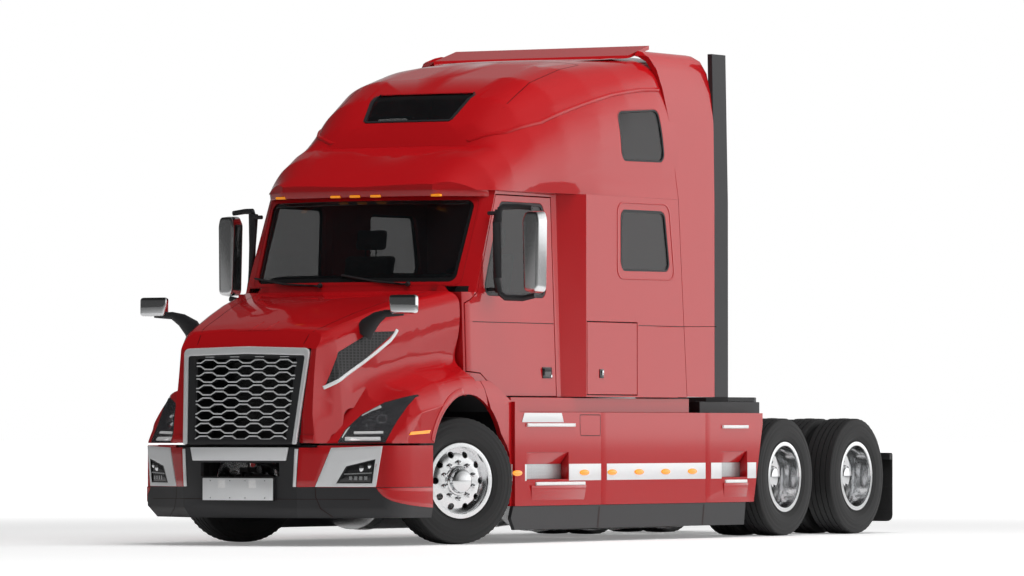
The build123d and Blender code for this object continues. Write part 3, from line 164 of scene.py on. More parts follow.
RUBBER = {"bump": 0.18, "rough": (0.6, 0.78), "distance": 0.0008}
POLISHED = {"Metallic": 1.0}
LENS = {"Roughness": 0.12, "Coat_Weight": 0.6}
LOOKS = {                   # finish: (material, record slot, noise scale, its two colours, grain, shader)
    "red": ("red_clearcoat", "red_paint", 260, 0.97, 1.03, {"detail": 2},
            {"Roughness": 0.45, "Specular_IOR_Level": 0.15, "Coat_Weight": 1.0, "Coat_Roughness": 0.04,
             "Coat_IOR": 1.55}),
    "plastic": ("moulded_black", "black_plastic", 900, 0.8, 1.25,
                {"bump": 0.25, "rough": (0.42, 0.55), "distance": 0.0006}, {}),
    "chassis": ("chassis_paint", "frame_paint", 35, 0.8, 1.4, {"bump": 0.08, "rough": (0.4, 0.6)}, {}),
    "chrome": ("bright_chrome", "bright_trim", 90, (0.78, 0.79, 0.80), (0.84, 0.85, 0.86),
               {"rough": (0.05, 0.1)}, POLISHED),
    "alloy": ("polished_aluminium", "polished_aluminium", 60, (0.80, 0.81, 0.82), (0.88, 0.885, 0.89),
              {"rough": (0.12, 0.2), "bump": 0.02}, POLISHED),
    "mirror": ("mirror_face", "bright_trim", 20, (0.55, 0.57, 0.58), (0.60, 0.62, 0.63),
               {"rough": (0.01, 0.03)}, POLISHED),
    "satin": ("satin_silver", "bright_trim", 500, (0.76, 0.77, 0.78), (0.84, 0.85, 0.86),
              {"rough": (0.3, 0.4), "bump": 0.04, "distance": 0.0003}, {"Metallic": 0.35}),
    "tread": ("tread_plate", "bright_trim", 120, (0.45, 0.46, 0.47), (0.58, 0.59, 0.60),
              {"rough": (0.3, 0.45)}, {"Metallic": 0.8}),
    "gloss": ("gloss_black", "black_plastic", 300, (0.010, 0.010, 0.011), (0.016, 0.016, 0.017),
              {"rough": (0.12, 0.2)}, {"Coat_Weight": 0.4, "Coat_Roughness": 0.05}),
    # seam: painted shade, a dark red strip that stands for the shade inside a panel gap
    "seam": ("seam_shadow", "black_plastic", 80, (0.010, 0.001, 0.001), (0.018, 0.002, 0.002),
             {"rough": (0.5, 0.7)}, {}),
    "tyre": ("tyre_rubber", "tyre_rubber", 140, (0.018, 0.018, 0.0189), (0.027,) * 3, RUBBER, {}),
    "flap": ("flap_rubber", "flap_rubber", 140, (0.014, 0.014, 0.0147), (0.021,) * 3, RUBBER, {}),
    "cast": ("cast_steel", "cast_steel", 220, (0.05, 0.05, 0.052), (0.09, 0.09, 0.092),
             {"bump": 0.35, "rough": (0.45, 0.65)}, {"Metallic": 0.7}),
    "fabric": ("cab_fabric", "cab_fabric", 1400, (0.03, 0.03, 0.033), (0.065, 0.065, 0.07),
               {"bump": 0.6, "rough": (0.8, 0.95)}, {"Sheen_Weight": 0.3}),
    "bunk": ("bunk_cloth", "cab_fabric", 900, (0.10, 0.10, 0.11), (0.17, 0.17, 0.18),
             {"bump": 0.5, "rough": (0.8, 0.95)}, {"Sheen_Weight": 0.25}),
    "glass": ("tinted_glass", "tinted_glass", 8, (0.006, 0.007, 0.008), (0.010, 0.011, 0.012), {},
              {"Roughness": 0.02, "Alpha": 0.52, "Coat_Weight": 0.3, "Coat_Roughness": 0.01}),
    "lens": ("clear_lens", "lamp_lens", 12, (0.10, 0.10, 0.11), (0.14, 0.14, 0.15), {},
             {"Roughness": 0.03, "Alpha": 0.20, "Coat_Weight": 0.4}),
    "amber": ("amber_lens", "lamp_lens", 300, (0.80, 0.25, 0.01), (1.0, 0.36, 0.02), {"detail": 1},
              {**LENS, "Emission_Color": (1.0, 0.34, 0.02, 1), "Emission_Strength": 0.35}),
    "tail": ("red_lens", "lamp_lens", 300, (0.35, 0.003, 0.004), (0.5, 0.005, 0.006), {"detail": 1}, LENS),
    "guide": ("light_guide", "lamp_lens", 60, (0.86, 0.87, 0.88), (0.93, 0.94, 0.95), {},
              {"Roughness": 0.25, "Emission_Color": (1, 1, 1, 1), "Emission_Strength": 0.25}),
    "white": ("white_edge", "lamp_lens", 80, (0.80,) * 3, (0.88,) * 3, {"rough": (0.3, 0.45)}, {}),
}
FLEET_COLOURS = {"red": "body", "plastic": "trim", "chassis": "chassis"}    # finish: its setting, shaded twice
CAD_FINISHES = ("red", "chrome", "plastic", "flap", "tyre", "alloy", "chassis", "cast", "glass", "lens", "fabric")
FINISH_SLOTS = {"mesh": "black_plastic", **{finish: row[1] for finish, row in LOOKS.items()}}
MATERIALS = {}


def make_materials():
    paint = bpy.context.scene.tractor_paint
    for finish, (name, _, scale, dark, light, texture, settings) in LOOKS.items():
        MATERIALS[finish], tree, shader = graph(name, **settings)
        if finish in FLEET_COLOURS:
            colour = getattr(paint, FLEET_COLOURS[finish])
            dark, light = ([channel * factor for channel in colour] for factor in (dark, light))
        grain(tree, shader, scale, (dark, light), **texture)
        if finish == "tread":
            cells(tree, shader, {"Rotation": (0, 0, radians(45))}, 0.8, 0.003, Scale=38.0)
    MATERIALS["mesh"], tree, shader = graph("pierced_mesh", Roughness=0.4)
    pattern = cells(tree, shader, {"Scale": (0.001, 1.0, 1.7)}, 1.0, 0.004, invert=True, Scale=26.0,
                    feature="DISTANCE_TO_EDGE")
    ramp = colour_ramp(tree, ((0.05, (0.035, 0.035, 0.037)), (0.16, (0.002, 0.002, 0.002))))
    join(tree, (pattern, "Distance", ramp, 0), (ramp, 0, shader, "Base Color"))


def node_slots():
    return {row["node"]: row["material_slot"] for row in FRAME["record"]["subparts"]}


# ---------------------------------------------------------------- pieces
def link(name, mesh, body, finish, replaced=()):
    """Put a finished mesh in the scene as a piece of the truck."""
    piece = bpy.data.objects.new(name, mesh)
    bpy.context.scene.collection.objects.link(piece)
    mesh.materials.clear()
    mesh.materials.append(MATERIALS[finish])
    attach(piece, body)
    if replaced:
        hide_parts(*replaced)
    return piece


def everything(form):
    return form.verts[:] + form.edges[:] + form.faces[:]


def new_verts(made):
    """Vertices among what a bmesh operator made."""
    return [item for item in made["geom"] if isinstance(item, bmesh.types.BMVert)]


def verts_of(faces):
    return list({vert for face in faces for vert in face.verts})


def bevel(form, edges, width, segments, clamp=False):
    bmesh.ops.bevel(form, geom=edges, offset=width, offset_type="OFFSET", segments=segments, profile=0.5,
                    affect="EDGES", clamp_overlap=clamp, material=-1)


def soften_edges(form, width, angle, segments=2):
    """Round off the edges that are sharper than an angle."""
    bevel(form, [edge for edge in form.edges if len(edge.link_faces) == 2 and edge.calc_face_angle(0) > radians(angle)],
          width, segments, True)


def smooth_mesh(name, form, angle):
    """The form as a mesh with smooth faces, its sharp edges kept."""
    mesh = bpy.data.meshes.new(name)
    form.to_mesh(mesh)
    form.free()
    mesh.shade_smooth()
    mesh.set_sharp_from_angle(angle=radians(angle))
    return mesh


def finished(name, form, finish, body="root", soften=0.0, angle=35, segments=2, replaced=(), slot=None):
    """Close a bmesh as a piece: merged, facing out, with softened edges and smooth faces."""
    bmesh.ops.remove_doubles(form, verts=form.verts, dist=1e-5)
    bmesh.ops.recalc_face_normals(form, faces=form.faces)
    if soften:
        soften_edges(form, soften, angle, segments)
    return link(name, smooth_mesh(name, form, angle), body, finish, replaced)


def turned(form, profile, steps=72, closed=False):
    """Sweep an (along, radius) line right round the X axis, and return its faces."""
    before = set(form.faces)
    points = [form.verts.new((along, 0, radius)) for along, radius in profile]
    lines = [form.edges.new(pair) for pair in zip(points, points[1:])]
    if closed:
        lines.append(form.edges.new((points[-1], points[0])))
    bmesh.ops.spin(form, geom=points + lines, cent=(0, 0, 0), axis=(1, 0, 0), angle=2 * pi, steps=steps,
                   use_merge=True)
    return [face for face in form.faces if face not in before]


def turned_at(form, profile, steps, place):
    """Turned form moved to its place."""
    before = set(form.verts)
    turned(form, profile, steps)
    bmesh.ops.transform(form, verts=[vert for vert in form.verts if vert not in before], matrix=place)


def box(form, low, high):
    """Closed box between two corners, and its vertices."""
    middle = (Vector(low) + Vector(high)) / 2
    size = Vector(high) - Vector(low)
    made = bmesh.ops.create_cube(form, size=1, matrix=Matrix.Translation(middle) @ Matrix.Diagonal((*size, 1)))
    return made["verts"]


def flat_points(place, points):
    """Points of (across, up) in a frame, in the scene."""
    return [place @ Vector((*point, 0)) for point in points]


def slab(form, outline, place, deep):
    """Outline of (across, up) points in a frame, given depth behind its plane; returns the vertices."""
    verts = [form.verts.new(point) for point in flat_points(place, outline)]
    back = new_verts(bmesh.ops.extrude_face_region(form, geom=[form.faces.new(verts)]))
    bmesh.ops.translate(form, verts=back, vec=place.to_3x3() @ Vector((0, 0, -deep)))
    return verts + back


def frame_at(origin, across, up):
    """Frame with its X along `across`, its Y near `up` and its Z out of the plane."""
    x = Vector(across).normalized()
    z = x.cross(Vector(up)).normalized()
    y = z.cross(x)
    place = Matrix((x, y, z)).transposed().to_4x4()
    place.translation = Vector(origin)
    return place


def upright(y):
    """Upright frame across the truck, facing ahead."""
    return frame_at((0, y, 0), (1, 0, 0), (0, 0, 1))


def facing_back(behind):
    """Upright frame across the truck, facing back."""
    return frame_at(at(0, behind, 0), (1, 0, 0), (0, 0, -1)) @ Matrix.Scale(-1, 4, (0, 1, 0))


def both_sides(form):
    """Add the mirror image on the truck's other side."""
    made = bmesh.ops.duplicate(form, geom=everything(form))
    bmesh.ops.scale(form, vec=(-1, 1, 1), verts=new_verts(made))
    return form


def pair(name, form, finish, *rest, **how):
    """Close a left-hand form and its mirror image as one piece."""
    finished(name, both_sides(form), finish, *rest, **how)


def stud(form, middle, turn, segments, radii, depth):
    """Closed round stud at a point, its axis tipped over by a turn."""
    bmesh.ops.create_cone(form, cap_ends=True, segments=segments, radius1=radii[0], radius2=radii[1], depth=depth,
                          matrix=Matrix.Translation(middle) @ turn)


def squashed_ball(form, middle, radius, squash, segments):
    """Ball drawn out or flattened about its middle."""
    ball = bmesh.ops.create_uvsphere(form, u_segments=segments, v_segments=10, radius=radius,
                                     matrix=Matrix.Translation(middle))["verts"]
    bmesh.ops.scale(form, vec=squash, verts=ball, space=Matrix.Translation(-middle))


def rod(form, points, radius, sides=10, flat=1.0):
    """Bar through a few points, round or flattened, with closed ends."""
    points = [Vector(point) for point in points]
    radii = radius if isinstance(radius, tuple) else (radius,) * len(points)
    rings = []
    for index, point in enumerate(points):
        run = points[min(index + 1, len(points) - 1)] - points[max(index - 1, 0)]
        turn = run.to_track_quat("Z", "Y").to_matrix().to_4x4() @ Matrix.Scale(flat, 4, (1, 0, 0))
        rings.append(bmesh.ops.create_circle(form, radius=radii[index], segments=sides,
                                             matrix=Matrix.Translation(point) @ turn)["verts"])
    for ring, following in zip(rings, rings[1:]):
        ring_faces(form, ring, following)
    form.faces.new(rings[0])
    form.faces.new(rings[-1])


def ring_faces(form, ring, following):
    """Faces from one closed ring of vertices to the next."""
    count = len(ring)
    return [form.faces.new((ring[step], ring[(step + 1) % count], following[(step + 1) % count], following[step]))
            for step in range(count)]


FAIRING_SEAMS = (1.940, 3.700)
SEAM_FOLD, SEAM_LIP, SEAM_REACH, FAIRING_FACE = 0.085, 0.030, 0.0185, 1.22
CHIN_TOP, CHIN_BOTTOM, CHIN_SLIM, CHIN_BACK = 0.305, 0.25, 0.955, 0.065
DEFLECTOR_HALF, DEFLECTOR_FRONT, DEFLECTOR_LOW, DEFLECTOR_SHIFT = 0.931, 2.53, 3.9, Vector((0, 0.42, 0.036))
SKIRT_TOP = 0.6             # the side skirts are red above this height


def bisect(form, point, normal):
    bmesh.ops.bisect_plane(form, geom=everything(form), plane_co=point, plane_no=normal)


def fold_seams(form):
    """Turn the front edge of each fairing panel in behind the panel ahead of it."""
    for seam in FAIRING_SEAMS:
        bisect(form, at(0, seam + SEAM_FOLD, 0), (0, 1, 0))
        for vert in form.verts:
            behind = vert.co.y - at(0, seam, 0).y
            if 0 < behind < SEAM_REACH and abs(vert.co.x) > FAIRING_FACE:
                vert.co.x -= SEAM_LIP * (1 if vert.co.x > 0 else -1)


def tuck_chin(form):
    """Draw the bumper's lower edge in and back."""
    bisect(form, (0, 0, CHIN_TOP), (0, 0, 1))
    for vert in form.verts:
        if vert.co.z < CHIN_BOTTOM:
            vert.co.x *= CHIN_SLIM
            vert.co.y += CHIN_BACK


def trim_deflector(form):
    """Move the front corners of the roof's deflector back."""
    for vert in form.verts:
        if (abs(abs(vert.co.x) - DEFLECTOR_HALF) < 0.002 and vert.co.y < at(0, DEFLECTOR_FRONT, 0).y
                and vert.co.z > DEFLECTOR_LOW):
            vert.co += DEFLECTOR_SHIFT


RESHAPED = {"chassis_fairings": fold_seams, "bumper": tuck_chin, "roof": trim_deflector}


def cad_form(node):
    """Welded form of a CAD solid."""
    form = bmesh.new()
    form.from_mesh(NODES[node].data)
    bmesh.ops.remove_doubles(form, verts=form.verts, dist=2e-5)
    return form


def join_flat(form, angle):
    """Dissolve the edges and vertices inside flat faces."""
    bmesh.ops.dissolve_limit(form, angle_limit=radians(angle), verts=form.verts, edges=form.edges)


def dressed_copy(node, width, finish, angle=32):
    """Welded copy of a CAD solid with softened edges, standing for that solid."""
    form = cad_form(node)
    join_flat(form, 0.6)
    if node in RESHAPED:
        RESHAPED[node](form)
    soften_edges(form, width, angle)
    mesh = smooth_mesh(node + "_skin", form, angle)
    piece = link(node + "_skin", mesh, NODES[node]["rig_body"], finish, [node])
    if node == "side_skirts":
        mesh.materials.append(MATERIALS["red"])
        for face in mesh.polygons:
            face.material_index = int(face.center.z > SKIRT_TOP)
    even = piece.modifiers.new("even", "WEIGHTED_NORMAL")
    even.keep_sharp = True
    even.weight = 100


def rounded(points, radius, steps=4):
    """Closed outline with its corners rounded; a corner of radius 0 stays sharp."""
    line = []
    radii = radius if isinstance(radius, tuple) else (radius,) * len(points)
    for index, (corner, radius) in enumerate(zip(points, radii)):
        corner, before = Vector(corner), Vector(points[index - 1])
        if not radius:
            line.append(corner)
            continue
        after = Vector(points[(index + 1) % len(points)])
        a = corner + (before - corner).normalized() * radius
        b = corner + (after - corner).normalized() * radius
        for step in range(steps + 1):
            t = step / steps
            line.append((1 - t) ** 2 * a + 2 * t * (1 - t) * corner + t * t * b)
    return line


def deepen(form, faces, shift):
    """Give faces a body behind them."""
    back = new_verts(bmesh.ops.extrude_face_region(form, geom=faces))
    bmesh.ops.translate(form, verts=back, vec=shift)


def bridged(form, lines, closed=False):
    """Faces from each line of points to the next, and the edges along the lines."""
    loops = []
    for line in lines:
        verts = [form.verts.new(point) for point in line]
        loops.append([form.edges.new(ends) for ends in zip(verts, verts[1:] + verts[:1] if closed else verts[1:])])
    faces = []
    for one, other in zip(loops, loops[1:]):
        faces += bmesh.ops.bridge_loops(form, edges=one + other)["faces"]
    return faces, loops


def band(form, outer, inner, place, deep, closed=True):
    """Frame between two matching outlines, given depth behind its plane."""
    faces = bridged(form, [flat_points(place, outline) for outline in (outer, inner)], closed)[0]
    deepen(form, faces, place.to_3x3() @ Vector((0, 0, -deep)))


SKIN_TREES = {}


def skin(*nodes):
    """Search tree over the CAD surfaces that a piece is laid on."""
    if nodes not in SKIN_TREES:
        points, faces = [], []
        for node in nodes:
            mesh = NODES[node].data
            start = len(points)
            points += [vert.co.copy() for vert in mesh.vertices]
            faces += [[start + index for index in polygon.vertices] for polygon in mesh.polygons]
        SKIN_TREES[nodes] = BVHTree.FromPolygons(points, faces)
    return SKIN_TREES[nodes]


def landed(points, tree, toward, lift):
    """Points pressed along a direction onto a skin, each standing off by lift."""
    toward = Vector(toward).normalized()
    hits = [tree.ray_cast(point - toward * 2.5, toward, 5)[0] for point in points]
    return [hit - toward * lift if hit else point.copy() for point, hit in zip(points, hits)]


def lay(verts, tree, toward, lift):
    """Press vertices onto a skin."""
    for vert, place in zip(verts, landed([vert.co for vert in verts], tree, toward, lift)):
        vert.co = place


def dense(points, cell, closed=False):
    """The same line with points at most a cell apart."""
    points = [Vector(point) for point in points]
    ends = points[1:] + points[:1] if closed else points[1:]
    line = []
    for start, end in zip(points, ends):
        count = max(1, round((end - start).length / cell))
        line += [start.lerp(end, step / count) for step in range(count)]
    return line if closed else line + [points[-1]]


def beside(points, toward, width, closed=False):
    """Line a width to the side of another, seen along a direction."""
    count = len(points)
    line = []
    for index, point in enumerate(points):
        before = points[index - 1] if closed or index else point
        after = points[(index + 1) % count] if closed or index < count - 1 else point
        side = (after - before).cross(Vector(toward)).normalized()
        line.append(point + side * width)
    return line


def ribbon(form, path, toward, width, tree, lift=0.0012, thick=0.003, closed=False, cell=0.05, crown=0.0):
    """Strip of a width laid on a skin along a path; a crown lifts its middle line."""
    toward = Vector(toward).normalized()
    path = dense(path, cell, closed)
    lines = [beside(path, toward, -width / 2, closed), beside(path, toward, width / 2, closed)]
    if crown:
        lines.insert(1, path)
    faces, loops = bridged(form, lines, closed)
    middle = {vert for edge in loops[1] for vert in edge.verts} if crown else set()
    if tree:
        lay(verts_of(faces), tree, toward, lift)
    for vert in middle:
        vert.co -= toward * crown
    deepen(form, faces, toward * thick)


def sheet(form, line_a, line_b, toward, tree, lift=0.0015, thick=0.003, cell=0.05, rows=6, closed=False):
    """Panel between two lines of matching points, laid on a skin."""
    lines = [[Vector(a).lerp(Vector(b), row / rows) for a, b in zip(line_a, line_b)] for row in range(rows + 1)]
    faces = bridged(form, [dense(line, cell) for line in lines] if cell else lines, closed)[0]
    if tree:
        lay(verts_of(faces), tree, toward, lift)
    deepen(form, faces, Vector(toward).normalized() * thick)


def framed_sheet(form, outer, inner, toward, tree, lift, thick, cuts=6, rows=5):
    """Panel with an opening, laid on a skin: both outlines have the same number of corners."""
    split = [[a.lerp(b, cut / cuts) for a, b in zip(outline, outline[1:] + outline[:1]) for cut in range(cuts)]
             for outline in (outer, inner)]
    sheet(form, *split, toward, tree, lift, thick, cell=0, rows=rows, closed=True)


def flip(form, side):
    """Turn a left-hand form into the right-hand one."""
    if side < 0:
        bmesh.ops.scale(form, vec=(-1, 1, 1), verts=form.verts)
    return form


SAME_WAY = 0.55              # least cosine between faces that look the same way


def rim(name, node, outwards, wide, lift, finish, body="root"):
    """Gasket round the panes of a glass node, on the faces that look along one of some directions."""
    form = bmesh.new()
    for outward in outwards:
        outward = Vector(outward).normalized()
        part = cad_form(node)
        join_flat(part, 1)
        part.normal_update()
        away = [face for face in part.faces if face.normal.dot(outward) < SAME_WAY]
        bmesh.ops.delete(part, geom=away, context="FACES")
        keep_ring(part, part.faces[:], wide)
        part.normal_update()
        bmesh.ops.translate(part, verts=part.verts, vec=outward * lift)
        deepen(part, part.faces[:], outward * -(lift + 0.001))
        joined = bpy.data.meshes.new("part")
        part.to_mesh(joined)
        part.free()
        form.from_mesh(joined)
        bpy.data.meshes.remove(joined)
    finished(name, form, finish, body, soften=0.0015, segments=1)


def keep_ring(form, faces, wide):
    """Cut faces down to a border of a width."""
    ring = set(bmesh.ops.inset_region(form, faces=faces, thickness=wide, use_even_offset=True,
                                      use_boundary=True)["faces"])
    bmesh.ops.delete(form, geom=[face for face in form.faces if face not in ring], context="FACES")


def at(across, behind, height):
    """Point given across the truck, behind the front axle and above the ground."""
    return Vector((across, FRONT_AXLE_Y + behind, height))


def put(points):
    """Points given as (across, behind the front axle, height), in the scene."""
    return [at(*point) for point in points]


def flank(*points, across=1.5):
    """Points given as (behind the front axle, height), out beside the truck."""
    return [at(across, *point) for point in points]


FACING_AHEAD = Matrix.Rotation(pi / 2, 4, "X")
# directions in which pieces are pressed on, named for where they come from
AHEAD, LEFT, ABOVE, BEHIND = Vector((0, 1, 0)), Vector((-1, 0, 0)), Vector((0, 0, -1)), Vector((0, -1, 0))


class TRACTOR_OT_finishes(bpy.types.Operator):
    """Give every CAD solid its finish"""
    bl_idname = "tractor.finishes"
    bl_label = "Finishes"

    def execute(self, context):
        make_materials()
        finishes = {FINISH_SLOTS[finish]: finish for finish in CAD_FINISHES}
        for node, slot in node_slots().items():
            mesh = NODES[node].data
            mesh.materials.clear()
            mesh.materials.append(MATERIALS[finishes[slot]])
        return {"FINISHED"}


class TRACTOR_OT_stage(bpy.types.Operator):
    """Floor, backdrop, soft lights and camera"""
    bl_idname = "tractor.stage"
    bl_label = "Studio"

    def execute(self, context):
        studio = context.scene.tractor_studio
        floor_mesh = bpy.data.meshes.new("studio_floor")
        form = bmesh.new()
        bmesh.ops.create_grid(form, x_segments=1, y_segments=1, size=400)
        form.to_mesh(floor_mesh)
        form.free()
        floor = bpy.data.objects.new("studio_floor", floor_mesh)
        context.scene.collection.objects.link(floor)
        floor_mesh.materials.append(floor_material())
        make_world(studio.side_glow)
        for name, place, target, size, power in LAMPS:
            add_lamp(name, place, target, size, power)
        data = bpy.data.cameras.new("studio_camera")
        data.sensor_width = 36
        data.lens = studio.lens
        data.clip_end = 2000
        camera = bpy.data.objects.new("studio_camera", data)
        camera.location = studio.place
        camera.rotation_euler = (pi / 2 + studio.pitch, 0, studio.azimuth)
        context.scene.collection.objects.link(camera)
        context.scene.camera = camera
        context.scene.view_settings.view_transform = "Standard"
        return {"FINISHED"}


LAMPS = (                   # name, place, target, size, power
    ("lamp_top", (4, -2, 16), (0, 0, 1), 14, 2300),
    ("lamp_side", (18, 6, 7), (0, 1, 2), 8, 1000),
)


def add_lamp(name, place, target, size, power):
    data = bpy.data.lights.new(name, "AREA")
    data.energy = power
    data.shape = "DISK"
    data.size = size
    lamp = bpy.data.objects.new(name, data)
    lamp.location = place
    lamp.visible_glossy = False
    lamp.rotation_euler = (Vector(target) - Vector(place)).to_track_quat("-Z", "Y").to_euler()
    bpy.context.scene.collection.objects.link(lamp)


def spread(tree, value, start, end, low, high):
    """Smooth step of a value between two levels, as (node, output)."""
    ramp = add(tree, "ShaderNodeMapRange", interpolation_type="SMOOTHSTEP", From_Min=start, From_Max=end,
               To_Min=low, To_Max=high)
    join(tree, (*value, ramp, 0))
    return ramp, 0


def chosen(tree, factor, one, other):
    """Mix of two shaders by a factor given as (node, output)."""
    mix = add(tree, "ShaderNodeMixShader")
    join(tree, (*factor, mix, 0), (one, 0, mix, 1), (other, 0, mix, 2))
    return mix


def floor_material():
    """White floor that keeps the truck's soft shadow."""
    material, tree, shader = graph("studio_white", Base_Color=(0.9, 0.9, 0.9, 1), Roughness=0.6,
                                   Specular_IOR_Level=0.2)
    glow = add(tree, "ShaderNodeEmission", Color=(1, 1, 1, 1))
    place = add(tree, "ShaderNodeTexCoord")
    reach = add(tree, "ShaderNodeVectorMath", operation="LENGTH")
    both = add(tree, "ShaderNodeAddShader")
    paths = add(tree, "ShaderNodeLightPath")
    join(tree, (place, "Object", reach, 0), (*spread(tree, (reach, "Value"), 5, 24, 0.20, 1.0), glow, "Strength"),
         (shader, 0, both, 0), (glow, 0, both, 1))
    out = next(node for node in tree.nodes if node.type == "OUTPUT_MATERIAL")
    join(tree, (chosen(tree, (paths, "Is Camera Ray"), shader, both), 0, out, 0))
    return material


BRIGHT_SIDE = (0.55, 0.82, 0.0)


def make_world(side_glow):
    """White surround, brightest beside the truck and dimmer ahead of it."""
    world = bpy.data.worlds.new("studio_world")
    bpy.context.scene.world = world
    world.use_nodes = True
    tree = world.node_tree
    tree.nodes.clear()
    out = add(tree, "ShaderNodeOutputWorld")
    place = add(tree, "ShaderNodeTexCoord")
    split = add(tree, "ShaderNodeSeparateXYZ")
    room, mirrored, white = (add(tree, "ShaderNodeBackground", Color=(1, 1, 1, 1)) for shader in range(3))
    toward = add(tree, "ShaderNodeVectorMath", operation="DOT_PRODUCT")
    toward.inputs[1].default_value = BRIGHT_SIDE
    paths = add(tree, "ShaderNodeLightPath")
    seen = add(tree, "ShaderNodeMath", operation="MAXIMUM")
    join(tree, (place, "Generated", toward, 0), (place, "Generated", split, 0),
         (paths, "Is Camera Ray", seen, 0), (paths, "Is Transmission Ray", seen, 1))
    height = spread(tree, (split, "Z"), 0.08, 0.7, 1.0, 0.25)
    for shader, dim, bright in ((room, 0.45, side_glow * 0.85), (mirrored, 0.06, side_glow)):
        both = add(tree, "ShaderNodeMath", operation="MULTIPLY")
        join(tree, (*spread(tree, (toward, "Value"), 0.1, 0.95, dim, bright), both, 0), (*height, both, 1),
             (both, 0, shader, "Strength"))
    base = chosen(tree, (paths, "Is Glossy Ray"), room, mirrored)
    join(tree, (chosen(tree, (seen, 0), base, white), 0, out, 0))


SKINS = {                   # node: (edge softening in metres, finish)
    "hood": (0.004, "red"), "roof": (0.012, "red"), "cab_front": (0.003, "red"), "cab_sides": (0.004, "red"),
    "cab_back": (0.004, "red"), "door_left": (0.004, "red"), "door_right": (0.004, "red"),
    "luggage_door_left": (0.004, "red"), "luggage_door_right": (0.004, "red"),
    "side_extenders": (0.006, "red"), "chassis_fairings": (0.006, "red"),
    "bumper_corners": (0.005, "red"), "bumper": (0.005, "plastic"), "extender_trims": (0.005, "plastic"),
    "side_skirts": (0.004, "plastic"), "steps": (0.002, "plastic"), "deck_box": (0.006, "plastic"),
}


class TRACTOR_OT_panels(bpy.types.Operator):
    """Soft-edged skins over the cab, hood, roof and fairings"""
    bl_idname = "tractor.panels"
    bl_label = "Body panels"

    def execute(self, context):
        for node, (width, finish) in SKINS.items():
            dressed_copy(node, width, finish)
        return {"FINISHED"}


# ---------------------------------------------------------------- grille and nose
GRILLE_LEAN = atan2(0.110, 0.751)
GRILLE = frame_at(at(0, -1.559, 0.780), (1, 0, 0), (0, sin(GRILLE_LEAN), cos(GRILLE_LEAN)))
SURROUND_OUT = ((-0.518, 0.008), (-0.577, 0.759), (0, 0.775), (0.577, 0.759), (0.518, 0.008))
SURROUND_IN = ((-0.482, 0.008), (-0.536, 0.702), (0, 0.716), (0.536, 0.702), (0.482, 0.008))
MESH_EDGE = ((-0.425, 0.047), (-0.467, 0.695), (0, 0.697), (0.467, 0.695), (0.425, 0.047))
BAR_ROWS, BAR_PITCH, BAR_WAVE, BAR_FRONT, BAR_RECESS = 14, 0.050, 0.229, 0.0105, 0.010
FIRST_BAR, POST_FOOT, POST_FLARE = 0.060, (0.421, 0.047), 0.065
WAVE_FLAT = 0.16            # half the flat part of a wave, in waves


def shifted(place, lift):
    """The same frame, moved out of its plane."""
    return place @ Matrix.Translation((0, 0, lift))


def wave_line(row):
    """Middle line of one grille bar between the side posts, in the grille's plane."""
    height = FIRST_BAR + row * BAR_PITCH
    limit = POST_FOOT[0] + (height - POST_FOOT[1]) * POST_FLARE
    points = []
    for index in range(-9, 10):
        lift = BAR_PITCH / 4 if (index + row) % 2 else -BAR_PITCH / 4
        for end in (-WAVE_FLAT, WAVE_FLAT):
            points.append(Vector((index * BAR_WAVE / 2 + end * BAR_WAVE, height + lift)))
    line = []
    for a, b in zip(points, points[1:]):
        if abs(a.x) <= limit:
            line.append(a)
        for cut in (-limit, limit):
            if (a.x - cut) * (b.x - cut) < 0:
                line.append(a.lerp(b, (cut - a.x) / (b.x - a.x)))
    return line


def grille_bars():
    form = bmesh.new()
    for row in range(BAR_ROWS):
        line = flat_points(shifted(GRILLE, -BAR_RECESS), wave_line(row))
        ribbon(form, line, -GRILLE.col[2].to_3d(), BAR_FRONT, None, thick=0.004, cell=1)
    finished("grille_bar_fronts", form, "satin", "hood", soften=0.0012, segments=1, angle=50)


def grille_frame():
    form = bmesh.new()
    band(form, rounded(SURROUND_OUT, (0, 0.05, 0, 0.05, 0)), rounded(MESH_EDGE, (0, 0.014, 0, 0.014, 0)),
         shifted(GRILLE, -0.006), 0.069)
    finished("grille_posts", form, "plastic", "hood", soften=0.003, replaced=["grille_surround"])
    form = bmesh.new()
    band(form, rounded(SURROUND_OUT, (0, 0.05, 0, 0.05, 0)), rounded(SURROUND_IN, (0, 0.022, 0, 0.022, 0)),
         shifted(GRILLE, 0.008), 0.030, closed=False)
    finished("grille_bright_frame", form, "satin", "hood", soften=0.007, segments=3)
    form = bmesh.new()
    band(form, [Vector(point) * 1.02 for point in MESH_EDGE], [Vector(point) * 1.005 for point in MESH_EDGE],
         shifted(GRILLE, -0.075), 0.20)
    finished("grille_air_duct", form, "plastic", "hood")


CORE_FOOT, CORE_TOP, FIN_PITCH, FINS = 0.74, 1.50, 0.02, 37


def radiator():
    """Finned core behind the grille, standing on the frame."""
    form = bmesh.new()
    box(form, at(-0.50, -1.195, CORE_FOOT), at(0.50, -1.181, CORE_TOP))
    for index in range(1, FINS + 1):
        height = CORE_FOOT + index * FIN_PITCH
        box(form, at(-0.48, -1.199, height - 0.003), at(0.48, -1.194, height + 0.003))
    finished("radiator_core", form, "gloss")


